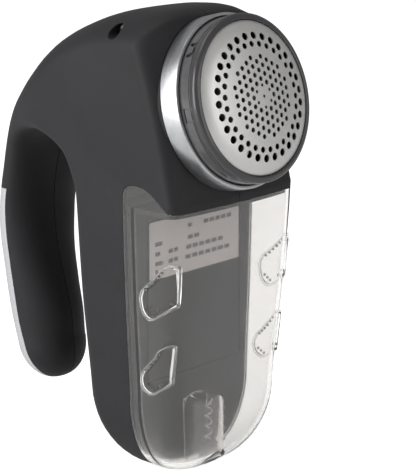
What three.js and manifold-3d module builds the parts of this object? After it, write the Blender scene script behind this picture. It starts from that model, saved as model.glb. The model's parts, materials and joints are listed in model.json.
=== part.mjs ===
// Battery fabric shaver: a wide housing with a tilted shaving head, a clear lint bin that forms the
// lower front, four cells behind the bin in the front leg, and a hooked hollow handle with a silver
// cover. The cells are reached through a door in the rear of the leg.
// Millimetres, +Z up. The head faces -Y, the handle is at +Y, and X = 0 is the middle plane.
// The origin is under the middle of the object, at the level of its lowest point.

import * as THREE from 'three';
import { mergeGeometries, mergeVertices } from 'three/addons/utils/BufferGeometryUtils.js';
import Module from 'manifold-3d';

const wasm = await Module();
wasm.setup();

// ---------------------------------------------------------------- driving dimensions

const GAP = 0.3;                 // clearance between touching pieces
const WALL = 2.2;                // housing wall
const BIN_WALL = 1.8;            // lint bin wall
const MIDDLE_Y = 1.8;            // middle of the object's depth, in the layout's own coordinates
const LIFT = 3.9;                // the layout's zero height above the object's lowest point
const SIDE = 60;                 // beyond the object's widest point
const FAR = 200;                 // beyond the object's ends

const HEAD = { y: -66, z: 158, tilt: THREE.MathUtils.degToRad(13.8) };
const FOIL_R = 31.0;
const FOIL_THICK = 0.5;
const FOIL_CROWN = 2.3;          // dome height above the plane of the outer ring of holes
const FOIL_DOME_R = 130;
const FOIL_SHOULDER = 25;        // outside this radius the foil turns down to its edge
const RIM_R = 34.1;
const COLLAR_R = 35.6;
const SEAT = -20.6;              // the housing's front face, behind the face of the head
const CHAMBER_R = 31.2;
const CHAMBER = { wall: 1.6, floor: 2, front: -6.4, shaftHole: 2.2 };
const RIM = { back: -5.6, outerEdge: -3.6, bevel: [0.5, -2.9], innerStep: [0.7, -2.3] };
const GUARD = { front: -5.9, window: { half: 4.5, back: -14, front: -8.4, turn: THREE.MathUtils.degToRad(72) } };
const COLLAR_FRONT = -11.5;
const NECK_DEPTH = 6;            // ring inside the housing that the head seats on
const LATTICE = { pitch: 3.49, clear: 4.2, reach: 16.2, hole: 2.06, fineHole: 1.4, fineCircle: 4.4, most: 5 };
const OUTER_HOLES = [
  { count: 30, radius: 24.5, turn: 0, diameter: 3.1, sides: 6 },
  { count: 30, radius: 21.1, turn: Math.PI / 30, diameter: 2.5, sides: 5 },
];

const BLADES = { inner: 6.5, outer: 28, foot: -6.4, thick: 0.9, chamfer: 5, shoulder: 2.6, clearance: 0.7 };
const BLADE_EYES = { height: -2.9, flatness: 0.8, at: [[11.5, 1.5], [16.5, 1.3], [21, 1]] };
const CUTTER = { radius: 19, top: -5.6, bottom: -8.4, hub: 4.6, hubEnd: -17, leg: 26.5, bore: 1.5 };
const CUTTER_CLIP = { near: 8, far: 13, half: 2.6, height: 1.2 };
const CUTTER_SPRING = { radius: 5.4, wire: 0.35, low: -20, high: -9.9, turns: 3 };
const MOTOR = { front: -27, back: -58, radius: 13.8, wall: 1.2, shaft: 1.15, nose: 5, noseBore: 1.6, cap: 4 };
const SHAFT = { back: -63.6, front: -8 };
const ARMATURE = { inner: MOTOR.shaft + 0.25, outer: 9, inset: 5 };
const MOTOR_PLATE = { half: 24, low: -10, high: 14, thick: 1.8, bore: 5.4, screwHole: 1.6, screwX: 9 };
const MOTOR_SCREW = [[0, 0], [1.3, 0], [1.3, 2], [2.4, 2], [2.4, 3.4], [0, 3.4]];

const CELL_R = 7.1;              // AA cells, four side by side in the front leg
const CELL_LENGTH = 50.0;
const CELL_PITCH = 14.9;
const CELL_COUNT = 4;
const CELL_PIP = { radius: 2.7, height: 1.6 };
const CELLS = { y: -18.4, foot: 58 };
const CELL_SPRING = { radius: 2.6, height: 2.4, turns: 2, wire: 0.3, stand: 3.1 };
const TRAY = { half: 30.9, wall: 1.2, front: CELLS.y - CELL_R - 2, back: CELLS.y + 4, low: 53, high: 112.8 };
const DOOR = { half: 30, reach: 12, low: 52, high: 113 };

const BIN_BACK = -26.2;          // rear edge of the lint bin
const BIN_TOP = 113.8;           // top edge of the lint bin at the front
const PANEL_Y = -31;             // face of the wall panel behind the lint bin
const PANEL = { thick: 2.4, ceiling: 2, rim: 5, rimWall: 1.8 };
const LABEL = { left: -27, right: 26.5, low: 82, high: 106, thick: 0.3 };
const LINT = { half: 13, near: -47, far: -34 };
const COLUMN = { y: -35.2, radius: 8.4, wall: 1.4, low: -3, high: 29 };
const CATCH = { half: 3.8, near: -39.6, far: -36.1, bottom: -1.6, top: 7.4 };
const CATCH_RIBS = { count: 3, lowest: 2.8, pitch: 1.7, height: 0.8, proud: 0.8 };
const CATCH_SPRING = { radius: 1.5, wire: 0.3, turns: 4, spare: 3.4 };
const GRIPS = [{ y: -47, z: 81.5 }, { y: -46.5, z: 51 }];
const GRIP_PROUD = 0.45;

// The chute between the chamber and the bin: its outside and its two bores, as [y, z] outlines.
const DUCT = {
  half: 15.4,
  boreHalf: 14,
  near: -49.4,
  far: -31.4,
  mouth: [[-60, 126.8], [-60, 143], [-45.9, 136.6], [-48, 126.8]],
  drop: [[-48, 126.8], [-46, 136.6], [-34.4, 130.4], [-33, 118], [-33, 100], [-48, 100]],
};

const HANDLE_COVER_TOP = 106;    // height at which the silver handle cover begins
const HANDLE_Y = 55;             // everything further back belongs to the handle
const SCREW = { y: -19.5, z: 183.1, recess: 3, bore: 1.6, headR: 2.6, headHeight: 2, seat: 27 };
const SCREW_SHANK = { radius: 1.3, end: 30 };
const SCREW_BOSS = { radius: 4.6, end: 33 };
const SLIDER = { y: 42.4, z: 155.2, angle: THREE.MathUtils.degToRad(-47), length: 15, width: 8, lip: 1.2 };
const SWITCH = { half: 6, reach: 10, low: -11, high: -4.6, wellHalf: 2.8, wellReach: 8, wellLow: -5.2 };
const LEAD = { radius: 0.9, route: [[5, -12.5, 113], [12, -4, 130], [18, 8, 149], [14, 22, 154], [5, 30, 149]] };

// Stations of the body, from the foot of the front leg, over the head and arch, down the handle.
// inner: the point on the side of the arch; outer: the point on the outside, both as [y, z].
// half: half width; innerCorner and outerCorner: [across, along] radii of the corners.
const STATIONS = [
  { inner: [1.2, 32], outer: [-49.0, 32], half: 34.4, innerCorner: [9, 9], outerCorner: [8, 8], crown: 1.6 },
  { inner: [2.7, 73], outer: [-51.6, 73], half: 36.4, innerCorner: [7, 7], outerCorner: [6, 6], crown: 1.8 },
  { inner: [3.7, 112], outer: [-53.6, 112], half: 37.5, innerCorner: [6, 6], outerCorner: [4.5, 4.5], crown: 2 },
  { inner: [5.1, 121], outer: [-53.0, 121], half: 37.5, innerCorner: [5, 5], outerCorner: [5, 4.5], crown: 1 },
  { inner: [7.2, 127], outer: [-46.4, 153], half: 37.5, innerCorner: [4, 4], outerCorner: [8, 6], crown: 0 },
  { inner: [9.5, 130.5], outer: [-39.2, 182], half: 37.5, innerCorner: [4, 4], outerCorner: [15, 10], crown: 0.6 },
  { inner: [11.4, 132], outer: [-34.5, 187.6], half: 37.5, innerCorner: [4, 4], outerCorner: [22, 13], crown: 2.4 },
  { inner: [13.6, 133.6], outer: [-24, 188.8], half: 37.5, innerCorner: [4, 4], outerCorner: [24, 15], crown: 2.8 },
  { inner: [17, 135.5], outer: [-6, 186.3], half: 37.5, innerCorner: [4, 4], outerCorner: [23, 15], crown: 2.6 },
  { inner: [22, 137.4], outer: [16.5, 176.9], half: 37.3, innerCorner: [4, 4], outerCorner: [21, 14], crown: 2.2 },
  { inner: [29, 138], outer: [35.4, 162], half: 35.4, innerCorner: [4, 4], outerCorner: [20, 13], crown: 1.8 },
  { inner: [38, 135.6], outer: [49.4, 146.6], half: 31.2, innerCorner: [6, 4], outerCorner: [18, 10], crown: 1 },
  { inner: [45.5, 129], outer: [60.4, 129], half: 26.2, innerCorner: [11, 5], outerCorner: [19, 9], crown: 0.6 },
  { inner: [50, 116], outer: [68.4, 113], half: 22.4, innerCorner: [17, 7], outerCorner: [19, 10], crown: 0 },
  { inner: [52.4, 102], outer: [73, 98], half: 20.8, innerCorner: [20, 9.4], outerCorner: [19, 10.6], crown: 0 },
  { inner: [52.2, 89], outer: [74.8, 83], half: 19.8, innerCorner: [19.4, 10.8], outerCorner: [19, 11.4], crown: 0 },
  { inner: [50.2, 76], outer: [74.8, 69], half: 18.4, innerCorner: [18.6, 12.6], outerCorner: [18.4, 12.6], crown: 0 },
  { inner: [46.3, 62], outer: [73.6, 55], half: 17.5, innerCorner: [18, 15], outerCorner: [17.8, 13.8], crown: 0 },
  { inner: [42.8, 49], outer: [71, 42.5], half: 16.9, innerCorner: [17.6, 16.6], outerCorner: [17.2, 14], crown: 0 },
  { inner: [42.0, 38], outer: [68.4, 31], half: 16.3, innerCorner: [17, 14.6], outerCorner: [16.6, 13], crown: 0 },
];
const SUBDIVISIONS = 2;
const CORNER_STEPS = 3;
const LEAST = 0.3;               // no corner or thickness of a section shrinks below this
const SLIVER = 0.05;             // the flat left between two corners
const CORNER_SHRINK = 0.6;       // how much of an inset is taken off a corner's radius
const FINEST_EDGE = 0.02;        // slivers smaller than this are merged away
const BLUNTNESS = 0.35;          // leaves a small flat at the tip of a rounded end
const HALF_DEPTH = 0.49;         // a rounded end's corners grow to this part of its depth
const LEG_END = { length: 36, drift: [-2, 0], fullness: 0.66, steps: 5 };
const HANDLE_END = { length: 17, drift: [-5, 0], fullness: 0.9, steps: 4 };

// ---------------------------------------------------------------- solids

const AXIS_TO_Z = new THREE.Matrix4().makeRotationX(Math.PI / 2);

function solid(geometry) {
  const bare = geometry.index ? geometry.toNonIndexed() : geometry.clone();
  bare.deleteAttribute('normal');
  bare.deleteAttribute('uv');
  const merged = mergeVertices(bare, 1e-4);
  return new wasm.Manifold(new wasm.Mesh({
    numProp: 3,
    vertProperties: Float32Array.from(merged.attributes.position.array),
    triVerts: Uint32Array.from(merged.index.array),
  }));
}

function geometryOf(body) {
  const mesh = body.getMesh();
  const geometry = new THREE.BufferGeometry();
  geometry.setAttribute('position', new THREE.BufferAttribute(Float32Array.from(mesh.vertProperties), 3));
  geometry.setIndex(new THREE.BufferAttribute(Uint32Array.from(mesh.triVerts), 1));
  geometry.computeVertexNormals();
  return geometry;
}

function join(bodies) {
  return bodies.reduce((all, body) => all.add(body));
}

// Revolves [radius, height] points about Z.
function turned(profile, segments = 48) {
  const points = profile.map(([radius, height]) => new THREE.Vector2(radius, height));
  return new THREE.LatheGeometry(points, segments).applyMatrix4(AXIS_TO_Z);
}

// A tube about Z between two heights.
function ring(inner, outer, low, high, segments = 48) {
  return turned([[inner, low], [outer, low], [outer, high], [inner, high], [inner, low]], segments);
}

// A round bar about Z.
function disc(radius, low, high, segments = 32) {
  return turned([[0, low], [radius, low], [radius, high], [0, high]], segments);
}

// Revolves [radius, distance] points about X.
function turnedAcross(profile, segments = 20) {
  return turned(profile, segments).rotateY(Math.PI / 2);
}

// A round bar along X, through a point of the middle plane.
function crossBar(radius, x0, x1, y, z, segments = 20) {
  return solid(new THREE.CylinderGeometry(radius, radius, x1 - x0, segments).rotateZ(Math.PI / 2)
    .translate((x0 + x1) / 2, y, z));
}

// A box given by its lowest and highest corners.
function block([x0, y0, z0], [x1, y1, z1]) {
  const box = new THREE.BoxGeometry(x1 - x0, y1 - y0, z1 - z0);
  return box.translate((x0 + x1) / 2, (y0 + y1) / 2, (z0 + z1) / 2);
}

// Extrudes an outline of [y, z] points across the object, from x0 to x1.
function slice(outline, x0, x1) {
  const shape = new THREE.Shape(outline.map(([y, z]) => new THREE.Vector2(y, z)));
  const geometry = new THREE.ExtrudeGeometry(shape, { depth: x1 - x0, bevelEnabled: false });
  const across = new THREE.Matrix4().makeBasis(
    new THREE.Vector3(0, 1, 0), new THREE.Vector3(0, 0, 1), new THREE.Vector3(1, 0, 0));
  return geometry.applyMatrix4(across).translate(x0, 0, 0);
}

// A round wire or bar along a curve.
function wire(points, radius, steps, sides = 8, closed = false) {
  const section = new THREE.Shape();
  section.absarc(0, 0, radius, 0, Math.PI * 2);
  const path = points instanceof THREE.Curve ? points
    : new THREE.CatmullRomCurve3(points.map((point) => new THREE.Vector3(...point)), closed);
  return new THREE.ExtrudeGeometry(section, { extrudePath: path, steps, curveSegments: sides / 2 });
}

class Helix extends THREE.Curve {
  constructor(radius, low, high, turns) {
    super();
    Object.assign(this, { radius, low, high, turns });
  }

  getPoint(t, target = new THREE.Vector3()) {
    const angle = t * this.turns * Math.PI * 2;
    return target.set(
      this.radius * Math.cos(angle), this.radius * Math.sin(angle), this.low + t * (this.high - this.low));
  }
}

// ---------------------------------------------------------------- the body as a loft of sections

const KEYS = ['half', 'crown'];
const PAIRS = ['inner', 'outer', 'innerCorner', 'outerCorner'];

function catmullRom(a, b, c, d, t) {
  const slopeB = (c - a) / 2;
  const slopeC = (d - b) / 2;
  const t2 = t * t;
  const t3 = t2 * t;
  return (2 * t3 - 3 * t2 + 1) * b + (t3 - 2 * t2 + t) * slopeB + (3 * t2 - 2 * t3) * c + (t3 - t2) * slopeC;
}

function between(index, t) {
  const last = STATIONS.length - 1;
  const [a, b, c, d] = [index - 1, index, index + 1, index + 2]
    .map((i) => STATIONS[THREE.MathUtils.clamp(i, 0, last)]);
  const station = {};
  KEYS.forEach((key) => {
    station[key] = THREE.MathUtils.lerp(b[key], c[key], t);
  });
  PAIRS.forEach((key) => {
    station[key] = [0, 1].map((i) => catmullRom(a[key][i], b[key][i], c[key][i], d[key][i], t));
  });
  return station;
}

// Sections that round off an end of the loft, each lower and smaller than the one before.
function roundedEnd(station, { length, drift, fullness, steps }, inset) {
  const middle = [0, 1].map((i) => (station.inner[i] + station.outer[i]) / 2);
  const sections = [];
  for (let step = 1; step <= steps; step += 1) {
    const angle = (step / (steps + BLUNTNESS)) * Math.PI / 2;
    const scale = Math.cos(angle) ** fullness;
    const drop = (length - inset) * Math.sin(angle);
    const shift = [drift[0] * Math.sin(angle), -drop];
    const shrunk = (point) => [0, 1].map((i) => middle[i] + shift[i] + (point[i] - middle[i]) * scale);
    const corner = ([across, along]) => [
      THREE.MathUtils.lerp(station.half, across, scale) * scale,
      THREE.MathUtils.lerp(HALF_DEPTH * span(station), along, scale) * scale];
    sections.push({
      inner: shrunk(station.inner),
      outer: shrunk(station.outer),
      half: station.half * scale,
      innerCorner: corner(station.innerCorner),
      outerCorner: corner(station.outerCorner),
      crown: station.crown * scale,
    });
  }
  return sections;
}

function span({ inner, outer }) {
  return Math.hypot(outer[0] - inner[0], outer[1] - inner[1]);
}

function allSections(inset) {
  const sections = [];
  for (let index = 0; index < STATIONS.length - 1; index += 1) {
    for (let part = 0; part < SUBDIVISIONS; part += 1) {
      sections.push(between(index, part / SUBDIVISIONS));
    }
  }
  const last = STATIONS[STATIONS.length - 1];
  sections.push(last);
  return [
    ...roundedEnd(STATIONS[0], LEG_END, inset).reverse(),
    ...sections,
    ...roundedEnd(last, HANDLE_END, inset),
  ];
}

// The closed outline of one section: a rectangle with elliptical corners and a slightly crowned outside.
function sectionLoop(section, inset) {
  const depth = span(section);
  const along = [0, 1].map((i) => (section.outer[i] - section.inner[i]) / depth);
  const half = Math.max(section.half - inset, LEAST);
  const low = Math.min(inset, depth / 2 - LEAST);
  const high = depth - low;
  const limit = (high - low) / 2;
  const radii = ([across, lengthwise]) => [
    THREE.MathUtils.clamp(across - inset * CORNER_SHRINK, LEAST, half - SLIVER),
    THREE.MathUtils.clamp(lengthwise - inset * CORNER_SHRINK, LEAST, Math.max(limit * 1.15, LEAST))];
  const [ix, iv] = radii(section.innerCorner);
  const [ox, wanted] = radii(section.outerCorner);
  const ov = Math.min(wanted, high - low - iv - SLIVER);
  const right = [];
  for (let step = 0; step <= CORNER_STEPS; step += 1) {
    const angle = (step / CORNER_STEPS) * Math.PI / 2;
    right.push([half - ix + ix * Math.sin(angle), low + iv - iv * Math.cos(angle)]);
  }
  for (let step = 0; step <= CORNER_STEPS; step += 1) {
    const angle = (step / CORNER_STEPS) * Math.PI / 2;
    const x = half - ox + ox * Math.cos(angle);
    right.push([x, high - ov + ov * Math.sin(angle) + section.crown * (1 - (x / half) ** 2)]);
  }
  const middle = [[0, high + section.crown]];
  const left = right.map(([x, v]) => [-x, v]).reverse();
  const bottom = [[0, low]];
  return [...right, ...middle, ...left, ...bottom].map(([x, v]) => new THREE.Vector3(
    x, section.inner[0] + along[0] * v, section.inner[1] + along[1] * v));
}

function loft(inset) {
  const loops = allSections(inset).map((section) => sectionLoop(section, inset));
  const count = loops[0].length;
  const positions = loops.flat().flatMap((point) => point.toArray());
  const faces = [];
  for (let row = 0; row < loops.length - 1; row += 1) {
    for (let i = 0; i < count; i += 1) {
      const a = row * count + i;
      const b = row * count + ((i + 1) % count);
      faces.push(a, b, b + count, a, b + count, a + count);
    }
  }
  for (const [row, flip] of [[0, true], [loops.length - 1, false]]) {
    const centre = positions.length / 3;
    const middle = loops[row].reduce((sum, point) => sum.add(point), new THREE.Vector3()).divideScalar(count);
    positions.push(...middle.toArray());
    for (let i = 0; i < count; i += 1) {
      const a = row * count + i;
      const b = row * count + ((i + 1) % count);
      faces.push(...(flip ? [b, a, centre] : [a, b, centre]));
    }
  }
  const geometry = new THREE.BufferGeometry();
  geometry.setAttribute('position', new THREE.Float32BufferAttribute(positions, 3));
  geometry.setIndex(faces);
  const body = solid(geometry);
  if (body.volume() > 0) return body;
  geometry.setIndex(faces.reverse());
  return solid(geometry);
}

// ---------------------------------------------------------------- scene graph helpers

const shaver = new THREE.Group();
shaver.position.set(0, -MIDDLE_Y, LIFT);
const head = new THREE.Group();
head.position.set(0, HEAD.y, HEAD.z);
head.rotation.x = Math.PI / 2 - HEAD.tilt;
head.updateMatrixWorld(true);
shaver.add(head);

const FINISH = {
  softBlack: { color: 0x46454a, roughness: 0.75, metalness: 0 },
  glossBlack: { color: 0x26262a, roughness: 0.3, metalness: 0 },
  innerBlack: { color: 0x303034, roughness: 0.6, metalness: 0 },
  silver: { color: 0xd8dadd, roughness: 0.3, metalness: 0.6 },
  foilSteel: { color: 0xcfcdc8, roughness: 0.3, metalness: 1 },
  steel: { color: 0xb8bbc0, roughness: 0.25, metalness: 1 },
  copper: { color: 0xb06a40, roughness: 0.4, metalness: 1 },
  smoke: { color: 0xdcdcdc, roughness: 0.1, metalness: 0 },
  label: { color: 0xb9b3b3, roughness: 0.6, metalness: 0 },
  white: { color: 0xe4dfd2, roughness: 0.5, metalness: 0 },
  cell: { color: 0x3c6a4a, roughness: 0.4, metalness: 0.2 },
  red: { color: 0x9c2a22, roughness: 0.5, metalness: 0 },
};

function piece(name, shape, finish, parent = shaver) {
  const body = shape instanceof THREE.BufferGeometry ? solid(shape) : shape;
  const geometry = geometryOf(body.simplify(FINEST_EDGE));
  const mesh = new THREE.Mesh(geometry, new THREE.MeshStandardMaterial(FINISH[finish]));
  mesh.name = name;
  parent.add(mesh);
  return mesh;
}

// A head shape, given about the head's own axis, brought into the body's place.
function inBody(geometry) {
  return solid(geometry.clone().applyMatrix4(head.matrixWorld));
}

// ---------------------------------------------------------------- the space of the lint bin

// Outline from the side: the bin fills everything in front of and below it. Each side wall rises
// into the housing as a rounded ear.
function binSpace(ease) {
  const back = BIN_BACK + ease;
  const shape = new THREE.Shape();
  shape.moveTo(-FAR, -FAR);
  shape.lineTo(back, -FAR);
  shape.lineTo(back, 118);
  shape.quadraticCurveTo(back, 123.2 + ease, -33.5, 123.2 + ease);
  shape.quadraticCurveTo(-39, 123 + ease, -43.5, 119.5 + ease);
  shape.lineTo(-51, BIN_TOP + ease);
  shape.lineTo(-FAR, BIN_TOP + ease);
  const outline = shape.getPoints(5).map((point) => [point.x, point.y]);
  return solid(slice(outline.slice(0, -1), -SIDE, SIDE));
}

// ---------------------------------------------------------------- the silver handle cover's space

// The cover is the rear half of the handle, split along the widest line of its sections.
function coverSpace(ease) {
  const split = allSections(0)
    .filter((section) => section.outer[0] > HANDLE_Y && section.inner[1] < HANDLE_COVER_TOP + 12)
    .map((section) => {
      const part = section.innerCorner[1] / span(section);
      return [0, 1].map((i) => section.inner[i] + part * (section.outer[i] - section.inner[i]));
    });
  const outline = [
    ...split.map(([y, z]) => [y - ease, z]),
    [split[split.length - 1][0] - ease, -FAR],
    [FAR, -FAR],
    [FAR, HANDLE_COVER_TOP + ease],
  ].filter(([, z]) => z <= HANDLE_COVER_TOP + ease);
  return solid(slice([[split[0][0] - 1 - ease, HANDLE_COVER_TOP + ease], ...outline], -SIDE, SIDE));
}

// ---------------------------------------------------------------- housing halves

const outerBody = loft(0);
const innerBody = loft(WALL);

// Something given flat at the origin, moved to the thumb switch's place on the back of the arch.
function atSwitch(geometry) {
  return solid(geometry.rotateX(SLIDER.angle).translate(0, SLIDER.y, SLIDER.z));
}

function doorSpace(ease) {
  return solid(block([-DOOR.half - ease, -DOOR.reach, DOOR.low - ease],
    [DOOR.half + ease, DOOR.reach, DOOR.high + ease]));
}

function housingShell() {
  const neck = inBody(ring(CHAMBER_R + 2 * GAP, COLLAR_R - 0.2, SEAT - NECK_DEPTH, SEAT, 32));
  const screwBoss = crossBar(SCREW_BOSS.radius, -SCREW_BOSS.end, SCREW_BOSS.end, SCREW.y, SCREW.z);
  return outerBody.subtract(innerBody)
    .add(neck.intersect(outerBody.add(inBody(disc(COLLAR_R, SEAT - NECK_DEPTH, SEAT, 32)))))
    .add(screwBoss.intersect(outerBody))
    .subtract(inBody(disc(CHAMBER_R + GAP, SEAT - 12, SEAT + 30, 32)))
    .subtract(inBody(disc(COLLAR_R + GAP, SEAT, SEAT + 20, 32)))
    .subtract(binSpace(GAP))
    .subtract(coverSpace(GAP / 2))
    .subtract(doorSpace(GAP))
    .subtract(ductSpace(GAP))
    .subtract(atSwitch(block([-SLIDER.width / 2 + SLIDER.lip, -SLIDER.length / 2, -10],
      [SLIDER.width / 2 - SLIDER.lip, SLIDER.length / 2, 20])))
    .subtract(screwRecess());
}

function screwRecess() {
  return crossBar(SCREW.recess, -SIDE, -SCREW.seat, SCREW.y, SCREW.z)
    .add(crossBar(SCREW.bore, -SCREW_SHANK.end, SCREW_SHANK.end, SCREW.y, SCREW.z, 16));
}

const shell = housingShell();
piece('housing_left', shell.intersect(solid(block([-SIDE, -FAR, -FAR], [-GAP / 2, FAR, 2 * FAR]))), 'softBlack');
piece('housing_right', shell.intersect(solid(block([GAP / 2, -FAR, -FAR], [SIDE, FAR, 2 * FAR]))), 'softBlack');

piece('housing_screw', turnedAcross([[0, 0], [SCREW.headR, 0], [SCREW.headR, SCREW.headHeight],
  [SCREW_SHANK.radius, SCREW.headHeight], [SCREW_SHANK.radius, SCREW_SHANK.end], [0, SCREW_SHANK.end]])
  .translate(-SCREW.seat - GAP - SCREW.headHeight, SCREW.y, SCREW.z), 'steel');

// ---------------------------------------------------------------- wall panel, label and battery door

// An upright panel with a ceiling in front of it and a rim behind it, inside the housing's wall.
function wallPanel() {
  const [front, back, under] = [PANEL_Y, PANEL_Y + PANEL.thick, BIN_TOP - PANEL.ceiling];
  const rimTop = under - PANEL.ceiling;
  const outline = [[front, -FAR], [front, under], [-SIDE, under], [-SIDE, BIN_TOP], [back, BIN_TOP],
    [back, rimTop], [back + PANEL.rim, rimTop], [back + PANEL.rim, -FAR]];
  const hollow = loft(WALL + GAP + PANEL.rimWall).intersect(solid(block([-SIDE, back, -FAR], [SIDE, FAR, under])));
  const window = solid(block([-LINT.half, LINT.near, under - 10], [LINT.half, LINT.far, BIN_TOP + 10]));
  return solid(slice(outline, -SIDE, SIDE)).intersect(loft(WALL + GAP)).subtract(hollow).subtract(window);
}

piece('bin_wall_panel', wallPanel(), 'innerBlack');
piece('rating_label', block([LABEL.left, PANEL_Y - GAP - LABEL.thick, LABEL.low],
  [LABEL.right, PANEL_Y - GAP, LABEL.high]), 'label');

piece('battery_door', outerBody.subtract(innerBody).intersect(doorSpace(0)), 'softBlack');

const tray = solid(block([-TRAY.half, TRAY.front, TRAY.low], [TRAY.half, TRAY.back, TRAY.high]))
  .subtract(solid(block([-TRAY.half + TRAY.wall, TRAY.front + TRAY.wall, TRAY.low + TRAY.wall],
    [TRAY.half - TRAY.wall, TRAY.back + 1, TRAY.high - TRAY.wall])));
piece('battery_tray', tray, 'innerBlack');
for (let i = 0; i < CELL_COUNT; i += 1) {
  const x = (i - (CELL_COUNT - 1) / 2) * CELL_PITCH;
  const up = i % 2 === 0;
  const shoulder = CELL_LENGTH - CELL_PIP.height;
  const cell = turned([[0, 0], [CELL_R, 0], [CELL_R, shoulder], [CELL_PIP.radius, shoulder],
    [CELL_PIP.radius, CELL_LENGTH], [0, CELL_LENGTH]], 16);
  if (!up) cell.rotateX(Math.PI).translate(0, 0, CELL_LENGTH);
  piece(`cell_${i + 1}`, cell.translate(x, CELLS.y, CELLS.foot), 'cell');
  const coil = new Helix(CELL_SPRING.radius, 0, CELL_SPRING.height, CELL_SPRING.turns);
  const spring = wire(coil, CELL_SPRING.wire, 14, 6);
  if (!up) spring.rotateX(Math.PI);
  const springFoot = up ? CELLS.foot - CELL_SPRING.stand : CELLS.foot + CELL_LENGTH + CELL_SPRING.stand;
  piece(`cell_spring_${i + 1}`, spring.translate(x, CELLS.y, springFoot), 'steel');
}

// ---------------------------------------------------------------- lint bin and its catch

// A finger grip on a side wall: a soft-cornered leaf, a little proud of the wall.
function gripPad(side, y, z) {
  const outline = new THREE.Shape();
  outline.moveTo(-9, -5.5);
  outline.quadraticCurveTo(-9.5, 1.5, -5, 5);
  outline.lineTo(9, 9.5);
  outline.quadraticCurveTo(12.5, 9, 12, 5);
  outline.quadraticCurveTo(7, -3, -3, -8);
  outline.quadraticCurveTo(-7.5, -9.5, -9, -5.5);
  const points = outline.getPoints(4).map((point) => [y - point.x, z + point.y]);
  const pad = solid(slice(points.slice(0, -1), side > 0 ? 20 : -SIDE, side > 0 ? SIDE : -20));
  return pad.intersect(loft(-GRIP_PROUD)).subtract(loft(BIN_WALL / 2));
}

function lintBin() {
  const space = binSpace(0);
  const cup = outerBody.intersect(space).subtract(loft(BIN_WALL)
    .intersect(solid(block([-SIDE, -FAR, -FAR], [SIDE, FAR, BIN_TOP + 0.01]))));
  const betweenEars = solid(block([-SIDE, -FAR, BIN_TOP], [SIDE, FAR, FAR]))
    .intersect(loft(BIN_WALL).add(solid(block([-30, -FAR, BIN_TOP - 1], [30, FAR, FAR]))));
  const beforePanel = solid(block([-SIDE, -FAR, -10], [SIDE, PANEL_Y - GAP, FAR]));
  const post = solid(ring(COLUMN.radius - COLUMN.wall, COLUMN.radius, COLUMN.low, COLUMN.high, 24)
    .translate(0, COLUMN.y, 0)).intersect(beforePanel);
  const roof = solid(disc(COLUMN.radius, COLUMN.high - COLUMN.wall, COLUMN.high, 24)
    .translate(0, COLUMN.y, 0)).intersect(beforePanel);
  const slot = solid(block([-CATCH.half - GAP, CATCH.near - GAP, -10], [CATCH.half + GAP, CATCH.far + GAP, 3]));
  const pads = [-1, 1].flatMap((side) => GRIPS.map(({ y, z }) => gripPad(side, y, z)));
  return join([cup.subtract(betweenEars), ...pads, post.intersect(outerBody), roof]).subtract(slot);
}
piece('lint_bin', lintBin(), 'smoke');

const catchRibs = Array.from({ length: CATCH_RIBS.count }, (_, i) => {
  const low = CATCH_RIBS.lowest + CATCH_RIBS.pitch * i;
  return solid(block([-CATCH.half, CATCH.near - CATCH_RIBS.proud, low],
    [CATCH.half, CATCH.near + 0.5, low + CATCH_RIBS.height]));
});
const catchBody = solid(block([-CATCH.half, CATCH.near, CATCH.bottom], [CATCH.half, CATCH.far, CATCH.top]));
piece('bin_catch', join([catchBody, ...catchRibs]), 'glossBlack');
const catchRoom = COLUMN.high - CATCH.top - CATCH_SPRING.spare;
const catchCoil = new Helix(CATCH_SPRING.radius, 0, catchRoom, CATCH_SPRING.turns);
piece('bin_catch_spring', wire(catchCoil, CATCH_SPRING.wire, 28, 6)
  .translate(0, (CATCH.near + CATCH.far) / 2, CATCH.top + GAP + 0.35), 'steel');

// ---------------------------------------------------------------- handle cover and thumb switch

piece('handle_cover', outerBody.subtract(innerBody).intersect(coverSpace(-GAP / 2)), 'silver');

const slider = atSwitch(block([-SLIDER.width / 2, -SLIDER.length / 2 + 2, 2.2], [SLIDER.width / 2, 3, 3.4]))
  .add(atSwitch(block([-2.4, -3.6, -4.2], [2.4, 0.6, 2.6])))
  .add(join([-3.6, -1.2, 1.2].map((y) => atSwitch(block([-3.4, y, 3], [3.4, y + 1, 4.1])))));
piece('switch_slider', slider, 'glossBlack');
const switchBody = atSwitch(block([-SWITCH.half, -SWITCH.reach, SWITCH.low],
  [SWITCH.half, SWITCH.reach, SWITCH.high]))
  .subtract(atSwitch(block([-SWITCH.wellHalf, -SWITCH.wellReach, SWITCH.wellLow],
    [SWITCH.wellHalf, SWITCH.wellReach, 0])));
piece('switch_body', switchBody, 'glossBlack');
[['wire_positive', -1, 'red'], ['wire_negative', 1, 'innerBlack']].forEach(([name, side, finish]) => {
  const route = LEAD.route.map(([x, y, z]) => [side * x, y, z]);
  piece(name, wire(route, LEAD.radius, 12, 6), finish);
});

// ---------------------------------------------------------------- the shaving head

// Height of the foil's front surface above the face plane.
function dome(radius) {
  const shoulder = Math.max(0, radius - FOIL_SHOULDER);
  return FOIL_CROWN - radius ** 2 / (2 * FOIL_DOME_R) - 0.045 * shoulder ** 2;
}

function hole(x, y, diameter, sides) {
  return new THREE.CylinderGeometry(diameter / 2, diameter / 2, 12, sides).rotateX(Math.PI / 2).translate(x, y, 0);
}

function onCircle(count, radius, turn, make) {
  return Array.from({ length: count }, (_, i) => {
    const angle = turn + (i * 2 * Math.PI) / count;
    return make(radius * Math.cos(angle), radius * Math.sin(angle), angle);
  });
}

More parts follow.
